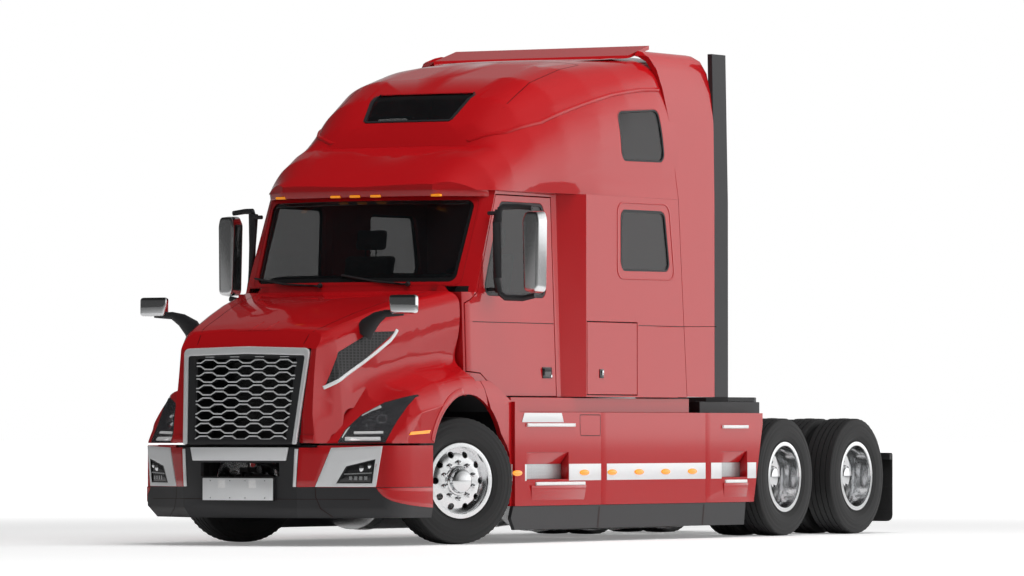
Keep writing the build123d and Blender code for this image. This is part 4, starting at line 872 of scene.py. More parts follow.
# ---------------------------------------------------------------- bumper
BUMPER = upright(at(0, -1.549, 0).y)
SATIN_OUT = ((0.637, -1.5, 0.459), (0.739, -1.4, 0.760), (1.082, -1.2, 0.774), (1.038, -1.2, 0.459))
FOG_MIDDLE, FOG_BEZEL = Vector((0.93, -1.28, 0.565)), 0.09
FOG_OPENING = ((0.775, -1.37, 0.487), (0.842, -1.33, 0.617), (1.036, -1.22, 0.672), (1.014, -1.24, 0.487))
CHEEK_IN = ((0.534, -1.55, 0.762), (0.518, -1.55, 0.458))
CHEEK_OUT = ((0.736, -1.40, 0.762), (0.634, -1.45, 0.458))
WRAP_TOP = ((1.040, -1.224, 0.452), (1.082, -1.200, 0.452), (1.122, -1.14, 0.452), (1.160, -1.080, 0.452),
            (1.180, -1.0, 0.452), (1.196, -0.930, 0.452), (1.200, -0.80, 0.452), (1.200, -0.645, 0.452))
WRAP_LOW = ((1.050, -1.218, 0.428), (1.085, -1.195, 0.385), (1.122, -1.14, 0.352), (1.160, -1.080, 0.334),
            (1.180, -1.0, 0.322), (1.196, -0.930, 0.312), (1.200, -0.80, 0.302), (1.200, -0.645, 0.294))


def bumper_fronts():
    form = bmesh.new()
    slab(form, rounded(((-0.449, 0.763), (0.449, 0.763), (0.428, 0.660), (-0.428, 0.660)), 0.008),
         shifted(BUMPER, 0.017), 0.017)
    finished("bumper_bar", form, "satin", soften=0.006, segments=3)
    form = bmesh.new()
    corner = skin("bumper", "bumper_corners", "lamps")
    ribbon(form, put(((0.516, -1.55, 0.752), (0.500, -1.55, 0.459))), AHEAD, 0.026, corner, 0.009, 0.010,
           crown=0.004)
    framed_sheet(form, put(SATIN_OUT), put(FOG_OPENING), AHEAD, corner, 0.006, 0.008)
    pair("bumper_satin_panels", form, "satin", soften=0.002)
    form = bmesh.new()
    sheet(form, put(CHEEK_IN), put(CHEEK_OUT), AHEAD, corner, 0.004, 0.006)
    sheet(form, put(WRAP_TOP), put(WRAP_LOW), (-0.85, 0.53, 0), skin("bumper"), 0.006, 0.008, cell=0, rows=5)
    pair("bumper_red_cheeks", form, "red", soften=0.002)
    # painted shade: dark strips along the bumper's joins stand for the shade in the gaps
    form = bmesh.new()
    ribbon(form, put(((0.637, -1.45, 0.455), (0.640, -1.45, 0.38), (0.672, -1.43, 0.29), (0.75, -1.38, 0.225))),
           AHEAD, 0.006, skin("bumper"), 0.001)
    ribbon(form, put(((0.0, -1.55, 0.364), (0.52, -1.55, 0.364), (0.744, -1.393, 0.364), (1.0, -1.25, 0.360))),
           AHEAD, 0.005, skin("bumper"), 0.001)
    pair("bumper_seams", form, "seam")


def plate_bracket():
    """Blank plate holder with its two hand holes and screws."""
    form = bmesh.new()
    place = upright(at(0, -1.5792, 0).y)
    slab(form, rounded(((-0.322, 0.525), (0.322, 0.525), (0.322, 0.354), (-0.322, 0.354)), 0.006),
         shifted(place, 0.003), 0.004)
    finished("plate_holder", form, "satin", soften=0.001)
    form = bmesh.new()
    for across in (-0.148, 0.134):
        slab(form, rounded(((across - 0.033, 0.512), (across + 0.033, 0.512), (across + 0.033, 0.448),
                            (across - 0.033, 0.448)), 0.004), shifted(place, 0.0036), 0.003)
    finished("plate_hand_holes", form, "white", soften=0.001, slot="bright_trim")
    form = bmesh.new()
    for across in (-0.25, -0.07, 0.07, 0.25):
        for height in (0.505, 0.372):
            stud(form, at(across, -1.5835, height), FACING_AHEAD, 12, (0.007, 0.005), 0.004)
    finished("plate_screws", form, "chrome")


def fog_lamps():
    form = bmesh.new()
    lamps = skin("lamps", "bumper_corners", "bumper")
    inner = [Vector(point).lerp(FOG_MIDDLE, FOG_BEZEL) for point in FOG_OPENING]
    framed_sheet(form, put(FOG_OPENING), put(inner), AHEAD, lamps, 0.009, 0.009, rows=1)
    sheet(form, put(FOG_OPENING[:2]), put((FOG_OPENING[3], FOG_OPENING[2])), AHEAD, lamps, 0.0012, 0.001)
    pair("fog_lamp_bezels", form, "gloss", soften=0.001)
    form = bmesh.new()
    ribbon(form, put(((0.826, -1.35, 0.557), (1.012, -1.24, 0.566))), AHEAD, 0.009, lamps, 0.006, 0.005)
    for step in range(4):
        across, behind = 0.868 + step * 0.034, -1.322 + step * 0.0195
        ribbon(form, put(((across, behind, 0.512), (across + 0.002, behind, 0.540))), AHEAD, 0.020, lamps, 0.004, 0.003)
    for across, height, radius in ((0.930, 0.603, 0.030), (0.985, 0.622, 0.024)):
        squashed_ball(form, at(across, -1.283 + (across - 0.93) * 0.57, height), radius, (1, 0.25, 1), 20)
    pair("fog_lamp_reflectors", form, "chrome")


# ---------------------------------------------------------------- headlamps
LAMP_A, LAMP_B, LAMP_C = at(0.768, -1.365, 0.793), at(1.082, -1.165, 0.793), at(1.150, -0.810, 1.177)
LAMP_OUT = (LAMP_B - LAMP_A).cross(LAMP_C - LAMP_A).normalized()
LAMP_BACK = -LAMP_OUT
GUIDE_ARC = ((0.779, -1.314, 0.852), (0.789, -1.25, 0.915), (0.806, -1.19, 0.975), (0.842, -1.13, 1.022),
             (0.895, -1.06, 1.062), (0.951, -1.007, 1.090))
GUIDE_BARS = (((0.846, -1.24, 0.886), (1.036, -1.115, 0.888)), ((0.802, -1.30, 0.836), (1.036, -1.155, 0.838)))
REFLECTOR_BARS = (((0.955, -1.12, 0.985), (1.045, -1.06, 0.990)), ((0.96, -1.05, 1.055), (1.05, -0.98, 1.07)),
                  ((0.90, -1.18, 0.915), (1.03, -1.11, 0.918)))


def on_lamp(point):
    """Foot of a point on the headlamps' slanted face."""
    point = at(*point)
    return point + LAMP_OUT * (LAMP_A - point).dot(LAMP_OUT)


def lamp_strip(form, points, depth, width, thick, cell=0.05):
    """Strip inside the headlamp, a depth behind its face."""
    ribbon(form, [on_lamp(point) + LAMP_BACK * depth for point in points], LAMP_BACK, width, None, thick=thick,
           cell=cell)


def lamp_halves():
    """The CAD headlamp as an open housing and its clear front."""
    outwards = {1: LAMP_OUT, -1: Vector((-LAMP_OUT.x, LAMP_OUT.y, LAMP_OUT.z))}
    for kind in ("housing", "lens"):
        form = cad_form("headlamps")
        bmesh.ops.recalc_face_normals(form, faces=form.faces)
        front = [face for face in form.faces
                 if face.normal.dot(outwards[1 if face.calc_center_median().x > 0 else -1]) > SAME_WAY]
        unwanted = front if kind == "housing" else list(set(form.faces) - set(front))
        bmesh.ops.delete(form, geom=unwanted, context="FACES")
        if kind == "housing":
            finished("headlamp_housings", form, "gloss", "hood", replaced=["headlamps"])
        else:
            bmesh.ops.solidify(form, geom=form.faces[:], thickness=0.003)
            finished("headlamp_lenses", form, "lens", "hood")


def lamp_insides():
    form = bmesh.new()
    lamp_strip(form, GUIDE_ARC, 0.012, 0.020, 0.012, cell=0.04)
    for bar, width in zip(GUIDE_BARS, (0.020, 0.032)):
        lamp_strip(form, bar, 0.012, width, 0.012)
    pair("headlamp_light_guides", form, "guide", "hood", soften=0.003)
    form = bmesh.new()
    for point, radius in (((0.985, -1.05, 1.000), 0.040), ((0.925, -1.135, 0.945), 0.030)):
        turned_at(form, ((0.0, radius + 0.012), (0.012, radius + 0.010), (0.010, radius), (-0.006, radius * 0.8),
                         (-0.010, 0.0)), 32, Matrix.Translation(on_lamp(point) + LAMP_BACK * 0.035)
                  @ LAMP_OUT.to_track_quat("X", "Z").to_matrix().to_4x4())
    for bar in REFLECTOR_BARS:
        lamp_strip(form, bar, 0.022, 0.008, 0.02)
    pair("headlamp_reflectors", form, "chrome", "hood", angle=40)
    form = bmesh.new()
    sheet(form, put(((1.3, -0.972, 0.858), (1.3, -0.702, 0.872))), put(((1.3, -0.946, 0.884), (1.3, -0.680, 0.898))),
          LEFT, skin("hood"), 0.007, 0.008)
    pair("fender_markers", form, "amber", "hood", soften=0.002)


class TRACTOR_OT_front(bpy.types.Operator):
    """Grille, bumper fronts, headlamps and fog lamps"""
    bl_idname = "tractor.front"
    bl_label = "Grille, bumper and lamps"

    def execute(self, context):
        for build in (grille_frame, grille_bars, radiator, bumper_fronts, plate_bracket,
                      fog_lamps, lamp_halves, lamp_insides):
            build()
        return {"FINISHED"}


# ---------------------------------------------------------------- hood
VENT_TOP = ((-1.368, 1.238), (-1.300, 1.392), (-1.246, 1.495), (-0.900, 1.655), (-0.660, 1.663))
VENT_LOW = ((-1.360, 1.242), (-1.200, 1.324), (-1.100, 1.374), (-0.850, 1.530), (-0.655, 1.660))
VENT_TRIM = ((-1.385, 1.222), (-1.19, 1.318), (-0.99, 1.418), (-0.84, 1.505), (-0.70, 1.596),
             (-0.655, 1.640), (-0.625, 1.680))
HOOD_SEAM = ((0.488, -1.40, 3), (0.498, -1.335, 3), (0.545, -1.22, 3), (0.589, -0.941, 3), (0.650, -0.66, 3),
             (0.740, -0.20, 3), (0.775, -0.03, 3))
ARCH_MIDDLE, ARCH_RADIUS = (-0.103, 0.635), 0.542


def arch_points(start, end, radius, count=20):
    """Points round the front wheel arch, by degrees from straight ahead up and over."""
    line = []
    for index in range(count + 1):
        turn = radians(start + (end - start) * index / count)
        line.append(at(1.4, ARCH_MIDDLE[0] - radius * cos(turn), ARCH_MIDDLE[1] + radius * sin(turn)))
    return line


def hood_trim():
    form = bmesh.new()
    sheet(form, flank(*VENT_TOP, across=1.3), flank(*VENT_LOW, across=1.3), LEFT, skin("grilles", "hood"), 0.002,
          0.002, cell=0.04, rows=5)
    pair("hood_vent_mesh", form, "mesh", "hood")
    form = bmesh.new()
    ribbon(form, flank(*VENT_TRIM, across=1.3), LEFT, 0.027, skin("hood", "grilles"), 0.006, 0.010, crown=0.003,
           cell=0.03)
    pair("hood_vent_trim", form, "satin", "hood", soften=0.002)
    # painted shade: a dark strip along the hood's edge stands for the shade in the gap
    form = bmesh.new()
    ribbon(form, put(HOOD_SEAM), ABOVE, 0.005, skin("hood"), 0.0006, 0.002, cell=0.04)
    pair("hood_seams", form, "seam", "hood")
    form = bmesh.new()
    ribbon(form, arch_points(18, 83, ARCH_RADIUS + 0.030), LEFT, 0.052, skin("hood"), 0.005, 0.006, crown=0.002)
    pair("fender_lips", form, "red", "hood", soften=0.002)
    form = bmesh.new()
    box(form, at(0.512, -1.508, 0.797), at(0.648, -1.492, 0.860))
    pair("nose_fillers", form, "red", "hood", soften=0.002)
    form = bmesh.new()
    ribbon(form, put(((-0.070, -1.300, 3), (0.085, -1.300, 3))), ABOVE, 0.012, skin("hood"), 0.003, 0.004)
    for across in (-0.060, 0.078):
        ribbon(form, put(((across, -1.300, 3), (across + 0.012, -1.12, 3))), ABOVE, 0.006, skin("hood"), 0.003, 0.004)
    finished("hood_catch", form, "red", "hood", soften=0.001)


def hood_underside():
    """Shelf behind the bumper and splash shields behind the front wheels."""
    form = bmesh.new()
    box(form, at(-0.62, -1.46, 0.752), at(0.62, -1.25, 0.782))
    box(form, at(-1.05, -1.10, 0.700), at(1.05, -1.02, 0.782))
    for side in (1, -1):
        low, high = sorted((side * 0.42, side * 1.155))
        box(form, at(low, 0.600, 0.42), at(high, 0.612, 1.150))
    finished("splash_shields", form, "plastic", soften=0.002)


def hood_mirrors():
    """Wide-angle mirrors on blade arms."""
    form = bmesh.new()
    head = box(form, at(1.026, -1.034, 1.796), at(1.274, -0.966, 1.944))
    for vert in head:
        if vert.co.z < 1.9 and vert.co.x < 1.1:
            vert.co.x += 0.012
    pair("hood_mirror_shells", form, "chrome", "hood", soften=0.026, segments=4, replaced=["hood_mirrors"])
    form = bmesh.new()
    rod(form, put(((0.775, -0.985, 1.640), (0.812, -0.985, 1.700), (0.90, -0.99, 1.765), (0.985, -1.0, 1.800),
                   (1.150, -1.0, 1.803))), (0.085, 0.078, 0.052, 0.030, 0.020), sides=16, flat=0.42)
    pair("hood_mirror_arms", form, "plastic", "hood", angle=50)
    form = bmesh.new()
    slab(form, rounded(((1.042, 1.812), (1.258, 1.812), (1.258, 1.930), (1.042, 1.930)), 0.02),
         facing_back(-0.9655), 0.004)
    pair("hood_mirror_faces", form, "mirror", "hood", soften=0.001)


def arch_liners():
    """Black liner over each front wheel, inside the fender."""
    form = bmesh.new()
    arc = arch_points(24, 134, ARCH_RADIUS + 0.022)
    outer = [Vector((1.150, point.y, point.z)) for point in arc]
    inner = [Vector((0.800, point.y, point.z)) for point in arc]
    sheet(form, outer, inner, ABOVE, None, thick=-0.006, cell=0, rows=1)
    pair("wheel_arch_liners", form, "plastic", "hood", angle=50)


class TRACTOR_OT_hood(bpy.types.Operator):
    """Hood vents, painted seam shade, fender lips and wide-angle mirrors"""
    bl_idname = "tractor.hood"
    bl_label = "Hood"

    def execute(self, context):
        for build in (hood_trim, hood_mirrors, arch_liners, hood_underside):
            build()
        return {"FINISHED"}


# ---------------------------------------------------------------- cab and roof
VISOR_HALF, VISOR_LEVEL, VISOR_DROP, VISOR_CELLS = 1.02, 2.812, Vector((0, 0.012, -0.062)), 40
WIPERS = (((0.584, 0.012, 2.047), (0.300, -0.030, 2.075), (-0.002, -0.033, 2.125)),
          ((-0.182, -0.069, 2.040), (-0.560, 0.040, 2.060), (-0.962, 0.196, 2.114)))
MARKERS = (-0.726, -0.187, 0.0, 0.187, 0.726)
STRAKE = ((0.633, 0.834, 3.210), (0.882, 1.010, 3.283), (1.013, 1.344, 3.373), (1.081, 1.791, 3.510),
          (1.123, 2.293, 3.627), (1.148, 2.750, 3.687), (1.165, 3.050, 3.700))


def cab_glass_trim():
    rim("windscreen_border", "windscreen", [(0, -0.9, 0.35)], 0.034, 0.0012, "gloss")
    form = bmesh.new()
    outline = rounded(((-0.972, 2.746), (0.972, 2.746), (0.970, 2.042), (-0.970, 2.042)), 0.06, steps=3)
    face = form.faces.new([form.verts.new(point) for point in dense([at(x, -0.4, z) for x, z in outline], 0.05, True)])
    keep_ring(form, [face], 0.036)
    lay(form.verts, skin("cab_front", "windscreen", "cab_sides", "door_left", "door_right"), AHEAD, 0.0025)
    deepen(form, form.faces[:], AHEAD * 0.003)
    finished("windscreen_surround", form, "gloss", soften=0.001, segments=1)
    rim("sleeper_window_rims", "fixed_windows", [(1, 0, 0), (-1, 0, 0)], 0.016, 0.009, "plastic")
    rim("skylight_rim", "fixed_windows", [(0, -0.75, 0.65)], 0.018, 0.010, "plastic")
    for name, side in SIDES.items():
        rim("door_window_rim_" + name, "door_glass_" + name, [(side, 0, 0)], 0.026, 0.007, "plastic",
            body="door_" + name)


def wipers():
    form = bmesh.new()
    screen = skin("windscreen", "cab_front")
    for line in WIPERS:
        verts = [form.verts.new(point) for point in dense(put(line), 0.06)]
        lay(verts, screen, AHEAD, 0.016)
        path = [vert.co.copy() for vert in verts]
        bmesh.ops.delete(form, geom=verts, context="VERTS")
        rod(form, path, 0.007, sides=6)
        ribbon(form, path, AHEAD, 0.016, screen, 0.010, 0.010)
        stud(form, path[0] + Vector((0, -0.004, 0.004)), Matrix.Rotation(radians(100), 4, "X"), 20, (0.020, 0.016),
             0.030)
    finished("wipers", form, "plastic", angle=40)


def visor_lip():
    """Red lip under the roof's visor, with its five amber marker lamps."""
    form = bmesh.new()
    top = [at(-VISOR_HALF + 2 * VISOR_HALF * index / VISOR_CELLS, -0.5, VISOR_LEVEL)
           for index in range(VISOR_CELLS + 1)]
    line = landed(top, skin("roof"), AHEAD, 0.001)
    low = [point + VISOR_DROP for point in line]
    sheet(form, line, low, AHEAD, None, thick=0.018, cell=0, rows=2)
    finished("visor_lip", form, "red", soften=0.004, segments=3)
    form = bmesh.new()
    for across in MARKERS:
        near = min(low, key=lambda point: abs(point.x - across))
        verts = box(form, (across - 0.045, near.y - 0.022, near.z - 0.004),
                    (across + 0.045, near.y + 0.01, near.z + 0.016))
        bmesh.ops.translate(form, verts=verts, vec=(0, 0.004, 0))
    finished("roof_markers", form, "amber", soften=0.006, segments=3)


def roof_lines():
    form = bmesh.new()
    roof = skin("roof")
    strake = dense(put(STRAKE), 0.05)
    ribbon(form, strake, (-0.75, 0.45, -0.45), 0.035, roof, 0.003, 0.006, crown=0.008)
    pair("roof_strakes", form, "red", soften=0.001)
    # painted shade: dark strips along the roof's panel joins stand for the shade in the gaps
    form = bmesh.new()
    ribbon(form, put(((0.79, 1.149, 5), (0.80, 1.6, 5), (0.80, 2.339, 5))), ABOVE, 0.005, roof, 0.0008)
    ribbon(form, put(((0.80, 2.339, 5), (0.40, 2.345, 5), (0.0, 2.345, 5))), ABOVE, 0.005, roof, 0.0008)
    pair("roof_seams", form, "seam")


def door_details():
    for name, side in SIDES.items():
        body, door = "door_" + name, skin("door_left")
        # painted shade: a dark strip along the door's join stands for the shade in the gap
        form = bmesh.new()
        ribbon(form, flank((0.115, 1.752), (1.44, 1.752)), LEFT, 0.006, door, 0.0006, 0.002)
        finished("door_seam_" + name, flip(form, side), "seam", body)
        form = bmesh.new()
        sheet(form, flank((1.238, 1.402), (1.388, 1.402)), flank((1.238, 1.312), (1.388, 1.312)),
              LEFT, door, 0.007, 0.010)
        finished("door_handle_pocket_" + name, flip(form, side), "gloss", body, soften=0.004)
        form = bmesh.new()
        ribbon(form, flank((1.246, 1.380), (1.360, 1.380)), LEFT, 0.026, door, 0.020, 0.008)
        ribbon(form, flank((1.252, 1.380), (1.253, 1.335)), LEFT, 0.014, door, 0.016, 0.010)
        finished("door_handle_" + name, flip(form, side), "plastic", body, soften=0.003)
        form = bmesh.new()
        lock = landed([at(1.225, 1.368, 1.330)], door, LEFT, 0.009)[0]
        stud(form, lock, Matrix.Rotation(pi / 2, 4, "Y"), 24, (0.012, 0.011), 0.006)
        finished("door_lock_" + name, flip(form, side), "chrome", body)


def sleeper_details():
    # painted shade: a dark strip along the sleeper's panel join stands for the shade in the gap
    form = bmesh.new()
    ribbon(form, flank((2.590, 1.752), (3.410, 1.752)), LEFT, 0.005, skin("cab_sides"), 0.0006, 0.002)
    pair("sleeper_seams", form, "seam")
    form = bmesh.new()
    outline = rounded(((2.245, 2.130), (2.245, 2.750), (3.105, 2.755), (3.200, 2.135)), 0.10, steps=6)
    ribbon(form, flank(*outline), LEFT, 0.014, skin("cab_sides"), 0.0035, 0.004, closed=True)
    pair("sleeper_pressings", form, "red", soften=0.001)
    for name, side in SIDES.items():
        hatch = skin("luggage_door_left")
        form = bmesh.new()
        sheet(form, flank((1.945, 1.390), (2.010, 1.390)), flank((1.945, 1.318), (2.010, 1.318)),
              LEFT, hatch, 0.006, 0.008)
        finished("luggage_latch_pocket_" + name, flip(form, side), "gloss", "luggage_" + name, soften=0.003)
        form = bmesh.new()
        ribbon(form, flank((1.986, 1.380), (1.986, 1.342)), LEFT, 0.026, hatch, 0.014, 0.006)
        finished("luggage_latch_" + name, flip(form, side), "chrome", "luggage_" + name, soften=0.003)


MIRROR_BARS = (             # points, a radius at each, flattening
    (((1.400, 0.545, 2.655), (1.28, 0.535, 2.668), (1.175, 0.480, 2.665), (1.150, 0.455, 2.640)),
     (0.020, 0.022, 0.024, 0.022), 0.8),
    (((1.150, 0.455, 2.640), (1.143, 0.440, 2.540), (1.152, 0.430, 2.10), (1.165, 0.435, 1.985)),
     (0.026, 0.026, 0.027, 0.028), 1.5),
    (((1.165, 0.435, 1.985), (1.20, 0.470, 1.945), (1.32, 0.540, 1.940), (1.43, 0.545, 1.962)),
     (0.022, 0.024, 0.024, 0.022), 0.8),
)


def door_mirrors():
    """Tall chrome mirrors in black frames hung on the doors."""
    for name, side in SIDES.items():
        form = bmesh.new()
        place = upright(at(0, 0.470, 0).y)
        slab(form, rounded(((1.345, 1.980), (1.330, 2.560), (1.362, 2.632), (1.500, 2.632), (1.520, 2.560),
                            (1.512, 1.980)), (0.05, 0.02, 0.03, 0.03, 0.02, 0.05)), place, 0.125)
        for vert in form.verts:
            if vert.co.y < at(0, 0.5, 0).y:
                vert.co.x += (1.43 - vert.co.x) * 0.22
                vert.co.z += (2.30 - vert.co.z) * 0.035
        finished("door_mirror_shell_" + name, flip(form, side), "alloy", "door_" + name, soften=0.020, segments=4,
                 replaced=["door_mirror_" + name], slot="bright_trim")
        form = bmesh.new()
        slab(form, rounded(((1.358, 2.000), (1.346, 2.555), (1.506, 2.555), (1.498, 2.000)), 0.02),
             facing_back(0.597), 0.004)
        finished("door_mirror_face_" + name, flip(form, side), "mirror", "door_" + name, soften=0.001)
        form = bmesh.new()
        for points, radii, flat in MIRROR_BARS:
            rod(form, put(points), radii, sides=12, flat=flat)
        for height in (2.010, 2.615):
            rod(form, put(((1.150, 0.440, height), (1.060, 0.445, height))), 0.016, sides=10)
        finished("door_mirror_frame_" + name, flip(form, side), "plastic", "door_" + name, angle=45)


class TRACTOR_OT_cab(bpy.types.Operator):
    """Glass gaskets, wipers, visor lip, painted seam shade, handles and mirrors"""
    bl_idname = "tractor.cab"
    bl_label = "Cab and roof"

    def execute(self, context):
        for build in (cab_glass_trim, wipers, visor_lip, roof_lines, door_details, sleeper_details, door_mirrors):
            build()
        return {"FINISHED"}


# ---------------------------------------------------------------- chassis sides
STRIPE_Z = (0.493, 0.626)
STEP_BAYS = ((0.737, 1.410), (3.975, 4.424))
TREAD_RISE = Vector((0, 0, 0.120))
OVALS = (0.583, 1.658, 2.112, 2.559, 3.007, 3.462)


def stripes():
    form = bmesh.new()
    side = skin("chassis_fairings")
    middle, wide = sum(STRIPE_Z) / 2, STRIPE_Z[1] - STRIPE_Z[0]
    spans = ((0.545, STEP_BAYS[0][0] - 0.003), (STEP_BAYS[0][1] + 0.003, 1.932), (2.030, 3.692),
             (3.790, STEP_BAYS[1][0] - 0.003), (STEP_BAYS[1][1] + 0.003, 4.578))
    for start, end in spans:
        ribbon(form, flank((start, middle), (end, middle)), LEFT, wide, side, 0.003, 0.004, cell=0.4)
    pair("fairing_stripes", form, "satin", soften=0.001)
    form = bmesh.new()
    for start, end in STEP_BAYS:
        front, back = put(((1.236, start, 0.506), (1.172, end - 0.004, 0.506)))
        sheet(form, (front, back), (front + TREAD_RISE, back + TREAD_RISE), LEFT, None, thick=0.004, cell=0, rows=1)
    pair("step_treads", form, "tread", soften=0.001)
    form = bmesh.new()
    for start, end in STEP_BAYS:
        sheet(form, put(((1.236, start, 0.627), (1.172, end - 0.004, 0.627))),
              put(((1.238, start, 0.719), (1.236, end - 0.004, 0.719))), LEFT, None, thick=0.003, cell=0.06, rows=5)
        sheet(form, put(((1.172, end - 0.004, 0.506), (1.172, end - 0.004, 0.626))),
              put(((1.237, end - 0.001, 0.506), (1.237, end - 0.001, 0.718))), BEHIND, None, thick=-0.003, cell=0,
              rows=1)
    pair("step_scoops", form, "red", soften=0.0005)
    form = bmesh.new()
    for start, end, height in ((0.737, 1.499, 0.938), (0.874, 1.657, 0.470), (3.985, 4.424, 0.925),
                               (4.03, 4.40, 0.470)):
        ribbon(form, flank((start, height), (end, height)), LEFT, 0.026, side, 0.016, 0.016, cell=0.5)
    pair("step_edges", form, "white", soften=0.003)
    form = bmesh.new()
    for start, end in ((0.80, 1.68), (4.00, 4.43)):
        top = put(((1.252, start, 0.456), (1.252, end, 0.456)))
        low = put(((1.2405, start + 0.02, 0.338), (1.2405, end - 0.02, 0.338)))
        sheet(form, top, low, LEFT, None, thick=0.010, cell=0, rows=1)
    pair("step_ledges", form, "red", soften=0.003)


def side_lamps():
    form = bmesh.new()
    for behind in OVALS:
        squashed_ball(form, at(1.246, behind, 0.556), 0.052, (0.26, 1.5, 0.46), 24)
    pair("side_markers", form, "amber")
    form = bmesh.new()
    sheet(form, flank((0.660, 0.960), (1.324, 0.960)), flank((0.700, 1.034), (1.290, 1.034)),
          LEFT, skin("chassis_fairings"), 0.005, 0.005, rows=2)
    pair("step_name_plates", form, "satin", soften=0.001)
    # painted shade: dark strips round the lid, sunk inside the folded fairing joins and across the skirt joins stand
    # for the shade in those gaps
    form = bmesh.new()
    outline = rounded(((1.600, 0.852), (1.590, 1.020), (1.925, 1.020), (1.925, 0.852)), 0.02)
    ribbon(form, flank(*outline), LEFT, 0.006, skin("chassis_fairings"), 0.0006, 0.002, closed=True)
    for seam in FAIRING_SEAMS:
        ribbon(form, flank((seam + 0.012, 0.30), (seam + 0.012, 1.035)), LEFT, 0.010,
               skin("chassis_fairings"), -0.027, 0.002)
        ribbon(form, flank((seam - 0.02, 0.280), (seam - 0.05, 0.110)), LEFT, 0.022, skin("side_skirts"),
               0.0006, 0.002)
    pair("fairing_seams", form, "seam")


class TRACTOR_OT_sides(bpy.types.Operator):
    """Stripes, treads, step edges and side lamps of the fairings"""
    bl_idname = "tractor.sides"
    bl_label = "Chassis sides"

    def execute(self, context):
        stripes()
        side_lamps()
        return {"FINISHED"}


# ---------------------------------------------------------------- rear
TAIL_LAMPS = (0.475, 0.565)
DECK = (3.80, 4.78, 1.134)  # start, end, height
GRIP_BARS = 24


def rear_details():
    form = bmesh.new()
    low, high = skin_box("mud_flaps")
    place = upright(high.y)
    slab(form, rounded(((0.621, 0.693), (1.199, 0.693), (1.199, 0.101), (0.621, 0.101)), (0.01, 0.01, 0.06, 0.06)),
         place, high.y - low.y)
    move = low.y - min(vert.co.y for vert in form.verts)
    bmesh.ops.translate(form, verts=form.verts, vec=(0, move, 0))
    for height in (0.20, 0.30, 0.40, 0.50):
        box(form, (0.66, low.y - 0.003, height - 0.006), (1.16, low.y + 0.002, height + 0.006))
    pair("mud_flaps_moulded", form, "flap", soften=0.003, replaced=["mud_flaps"])
    form = bmesh.new()
    for middle in landed([at(across, 7.0, 0.668) for across in TAIL_LAMPS], skin("chassis_frame"), BEHIND, 0.007):
        stud(form, middle, FACING_AHEAD, 28, (0.030, 0.026), 0.014)
    pair("tail_lamps", form, "tail", soften=0.002)
    form = bmesh.new()
    start, end, top = DECK
    for index in range(GRIP_BARS):
        behind = start + (end - start) * index / (GRIP_BARS - 1)
        box(form, at(-1.10, behind - 0.008, top - 0.002), at(1.10, behind + 0.008, top + 0.005))
    finished("deck_grip_bars", form, "plastic", soften=0.002, segments=1)


class TRACTOR_OT_rear(bpy.types.Operator):
    """Mud flaps, tail lamps and deck grips"""
    bl_idname = "tractor.rear"
    bl_label = "Rear"

    def execute(self, context):
        rear_details()
        return {"FINISHED"}


# ---------------------------------------------------------------- inside the cab
SEAT_X, SEAT_Y = 0.560, 1.180
PRESSURE, CLOTH_FRAMES = 4, 20
SWELL = Vector((0.012,) * 3)        # room left for a pad to swell


def pad(name, form, voxel, finish="fabric", limit=0.024):
    """Stuffed pad: remeshed, swollen by a little pressure and smoothed."""
    mesh = bpy.data.meshes.new(name)
    bmesh.ops.recalc_face_normals(form, faces=form.faces)
    form.to_mesh(mesh)
    form.free()
    piece = bpy.data.objects.new(name, mesh)
    bpy.context.scene.collection.objects.link(piece)
    cells = piece.modifiers.new("cells", "REMESH")
    cells.mode = "VOXEL"
    cells.voxel_size = voxel
    settle(piece)
    rest = [vert.co.copy() for vert in piece.data.vertices]
    cloth = piece.modifiers.new("cloth", "CLOTH")
    cloth.settings.use_pressure = True
    cloth.settings.uniform_pressure_force = PRESSURE
    cloth.settings.effector_weights.gravity = 0
    for frame in range(1, CLOTH_FRAMES + 1):
        bpy.context.scene.frame_set(frame)
    settle(piece)
    bpy.context.scene.frame_set(1)
    for vert, start in zip(piece.data.vertices, rest):
        move = vert.co - start
        if move.length > limit:
            vert.co = start + move.normalized() * limit
    mesh = piece.data
    bpy.data.objects.remove(piece)
    mesh.name = name
    mesh.shade_smooth()
    made = link(name, mesh, "root", finish, ["seats_and_bunk"])
    rounder = made.modifiers.new("rounder", "SUBSURF")
    rounder.levels = rounder.render_levels = 1


def settle(piece):
    """Apply the modifiers of a piece to its mesh."""
    ready = piece.evaluated_get(bpy.context.evaluated_depsgraph_get())
    mesh = bpy.data.meshes.new_from_object(ready)
    piece.modifiers.clear()
    piece.data = mesh


def crowned(form, low, high, soft):
    """Box with rounded edges, a little smaller than the room it fills."""
    start = set(form.edges)
    box(form, Vector(low) + SWELL, Vector(high) - SWELL)
    bevel(form, [edge for edge in form.edges if edge not in start], soft, 3)


def leaned(form, outline, low, high, soft):
    """Slab with a side outline of (behind, height) points between two widths, its edges rounded."""
    place = frame_at(at(high, 0, 0), (0, 1, 0), (0, 0, 1))
    slab(form, outline, place, high - low)
    bevel(form, form.edges[:], soft, 3)


